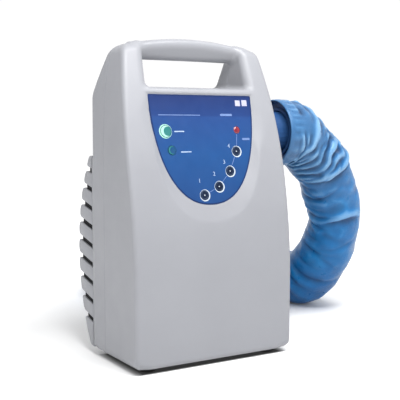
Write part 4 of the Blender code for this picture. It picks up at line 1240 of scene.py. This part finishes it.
# painted highlight: the ridges are mixed towards a paler blue
ridge_highlight = tree.nodes.new("ShaderNodeMix")
ridge_highlight.data_type = "RGBA"
tree.links.new(spread(tree, fold_shade.outputs["Fac"], 0.0, 0.62, (0.60, 1.0)), ridge_highlight.inputs["Factor"])
tree.links.new(shade.outputs["Result"], ridge_highlight.inputs["A"])
tree.links.new(ramp(tree, cloudy, ((0.3, (0.20, 0.37, 0.56)), (0.7, (0.31, 0.48, 0.66)))), ridge_highlight.inputs["B"])
base = ridge_highlight.outputs["Result"]
thread = ramp(tree, cross.outputs["Value"], ((0.0, (0.80, 0.84, 0.88)), (0.6, (1.0, 1.0, 1.0))))
mixed = tree.nodes.new("ShaderNodeMix")
mixed.data_type = "RGBA"
mixed.blend_type = "MULTIPLY"
mixed.inputs["Factor"].default_value = 1.0
tree.links.new(base, mixed.inputs["A"])
tree.links.new(thread, mixed.inputs["B"])
tree.links.new(mixed.outputs["Result"], shader.inputs["Base Color"])
tree.links.new(spread(tree, noise(tree, vector, 60.0, 3.0), 0.27, 0.40), shader.inputs["Roughness"])
crumple = node(tree, "ShaderNodeBump", Strength=0.35, Distance=0.0022)
tree.links.new(noise(tree, vector, 55.0, 3.0, 0.55, 0.8), crumple.inputs["Height"])
bump(tree, shader, cross.outputs["Value"], 0.25, 0.00018, crumple.outputs["Normal"])
shader.inputs["Sheen Weight"].default_value = 0.02
shader.inputs["Sheen Roughness"].default_value = 0.35
shader.inputs["Sheen Tint"].default_value = (0.62, 0.80, 1.0, 1.0)
shader.inputs["Specular IOR Level"].default_value = 0.44
shader.inputs["Specular Tint"].default_value = (0.66, 0.84, 1.0, 1.0)

n = len(stations)
faces = []
for i in range(n - 1):
    for j in range(AROUND):
        k = (j + 1) % AROUND
        faces.append((i * AROUND + j, i * AROUND + k, (i + 1) * AROUND + k, (i + 1) * AROUND + j))
hose = mesh_object("hose_fabric_tube", tube.reshape(-1, 3), faces, hose_mat)
hose.data.attributes.new("fold_depth", "FLOAT", "POINT").data.foreach_set("value", depth.ravel())
hose.data.attributes.new("near_cuff", "FLOAT", "POINT").data.foreach_set("value", np.exp(-((np.maximum(R, 0.0) / 0.12) ** 2)).ravel())
layer = hose.data.uv_layers.new(name="weave")
values = np.empty((len(hose.data.loops), 2))
for f in range(len(faces)):
    i, j = divmod(f, AROUND)
    for c, (di, dj) in enumerate(((0, 0), (0, 1), (1, 1), (1, 0))):
        values[4 * f + c] = (stations[i + di] * 1000.0 * 1.3, (j + dj) * (261.0 / AROUND) * 1.3)
layer.data.foreach_set("uv", values.ravel())
bm = bmesh.new()
bm.from_mesh(hose.data)
bmesh.ops.recalc_face_normals(bm, faces=bm.faces)
middle = Vector((line[60] + SHIFT).tolist())
if sum((f.calc_center_median() - middle).dot(f.normal) for f in bm.faces if (f.calc_center_median() - middle).length < 0.06) < 0:
    bmesh.ops.reverse_faces(bm, faces=bm.faces)
bm.to_mesh(hose.data)
bm.free()
wall = hose.modifiers.new("cloth", "SOLIDIFY")
wall.thickness = 0.0014
wall.offset = -1.0
apply_all(hose)
hose.data.shade_smooth()

# cuff on the cabinet's end
ALONG_X = Matrix.Translation((0.0, SPIGOT_Y, SPIGOT_Z)) @ Matrix.Rotation(math.pi / 2, 4, "Y")
profile = (
    [(0.0308, 0.1512), (0.0320, 0.1500), (0.0352, 0.1500), (0.0360, 0.1505), (0.0364, 0.1522), (0.0432, 0.1522), (0.0437, 0.1506), (0.0442, 0.1500)]
    + arc(0.0444, 0.1516, 0.0016, -90, 0, 5)
    + [(0.0460, 0.1560)]
    + arc(0.0445, 0.1565, 0.0015, 0, 90, 4)
    + [
        (0.0362, 0.1580), (0.0348, 0.1592), (0.0345, 0.1640), (0.0356, 0.1651), (0.0356, 0.1667), (0.0345, 0.1678),
        (0.0345, 0.1770), (0.0335, 0.1798), (0.0318, 0.1798), (0.0308, 0.1788),
    ]
)
cuff = lathe("hose_cuff_ring", profile, CUFF, 64, True, ALONG_X)
piece(cuff, "hose", "cuff_blue", "hose_cuff")

# nozzle on the far end
tip = line[-1]
ahead = Vector((tangent[-1] if False else (line[-1] - line[-2]) / np.linalg.norm(line[-1] - line[-2])).tolist())
NOZZLE = Matrix.Translation(tip.tolist()) @ Vector((0, 0, 1)).rotation_difference(ahead).to_matrix().to_4x4()
profile = [
    (0.0266, -0.0188), (0.0280, -0.0200), (0.0352, -0.0200), (0.0364, -0.0188), (0.0364, -0.0012), (0.0376, 0.0),
    (0.0414, 0.0), (0.0424, 0.0008), (0.0428, 0.0020), (0.0428, 0.0044), (0.0420, 0.0058), (0.0408, 0.0060),
    (0.0332, 0.0062), (0.0314, 0.0074), (0.0307, 0.0110), (0.0307, 0.0130), (0.0317, 0.0138), (0.0317, 0.0152),
    (0.0307, 0.0160), (0.0307, 0.0190), (0.0317, 0.0198), (0.0317, 0.0212), (0.0307, 0.0220), (0.0306, 0.0250),
    (0.0316, 0.0258), (0.0316, 0.0272), (0.0306, 0.0280), (0.0303, 0.0420), (0.0298, 0.0484), (0.0290, 0.0498),
    (0.0276, 0.0499), (0.0266, 0.0490),
]
nozzle = lathe("hose_nozzle_end", profile, CUFF, 64, True, NOZZLE)
piece(nozzle, "hose", "cuff_blue", "hose_nozzle")

piece(hose, "hose", "hose_fabric", "hose_sleeve")

# ---------------------------------------------------------------------- finish
bpy.context.view_layer.update()
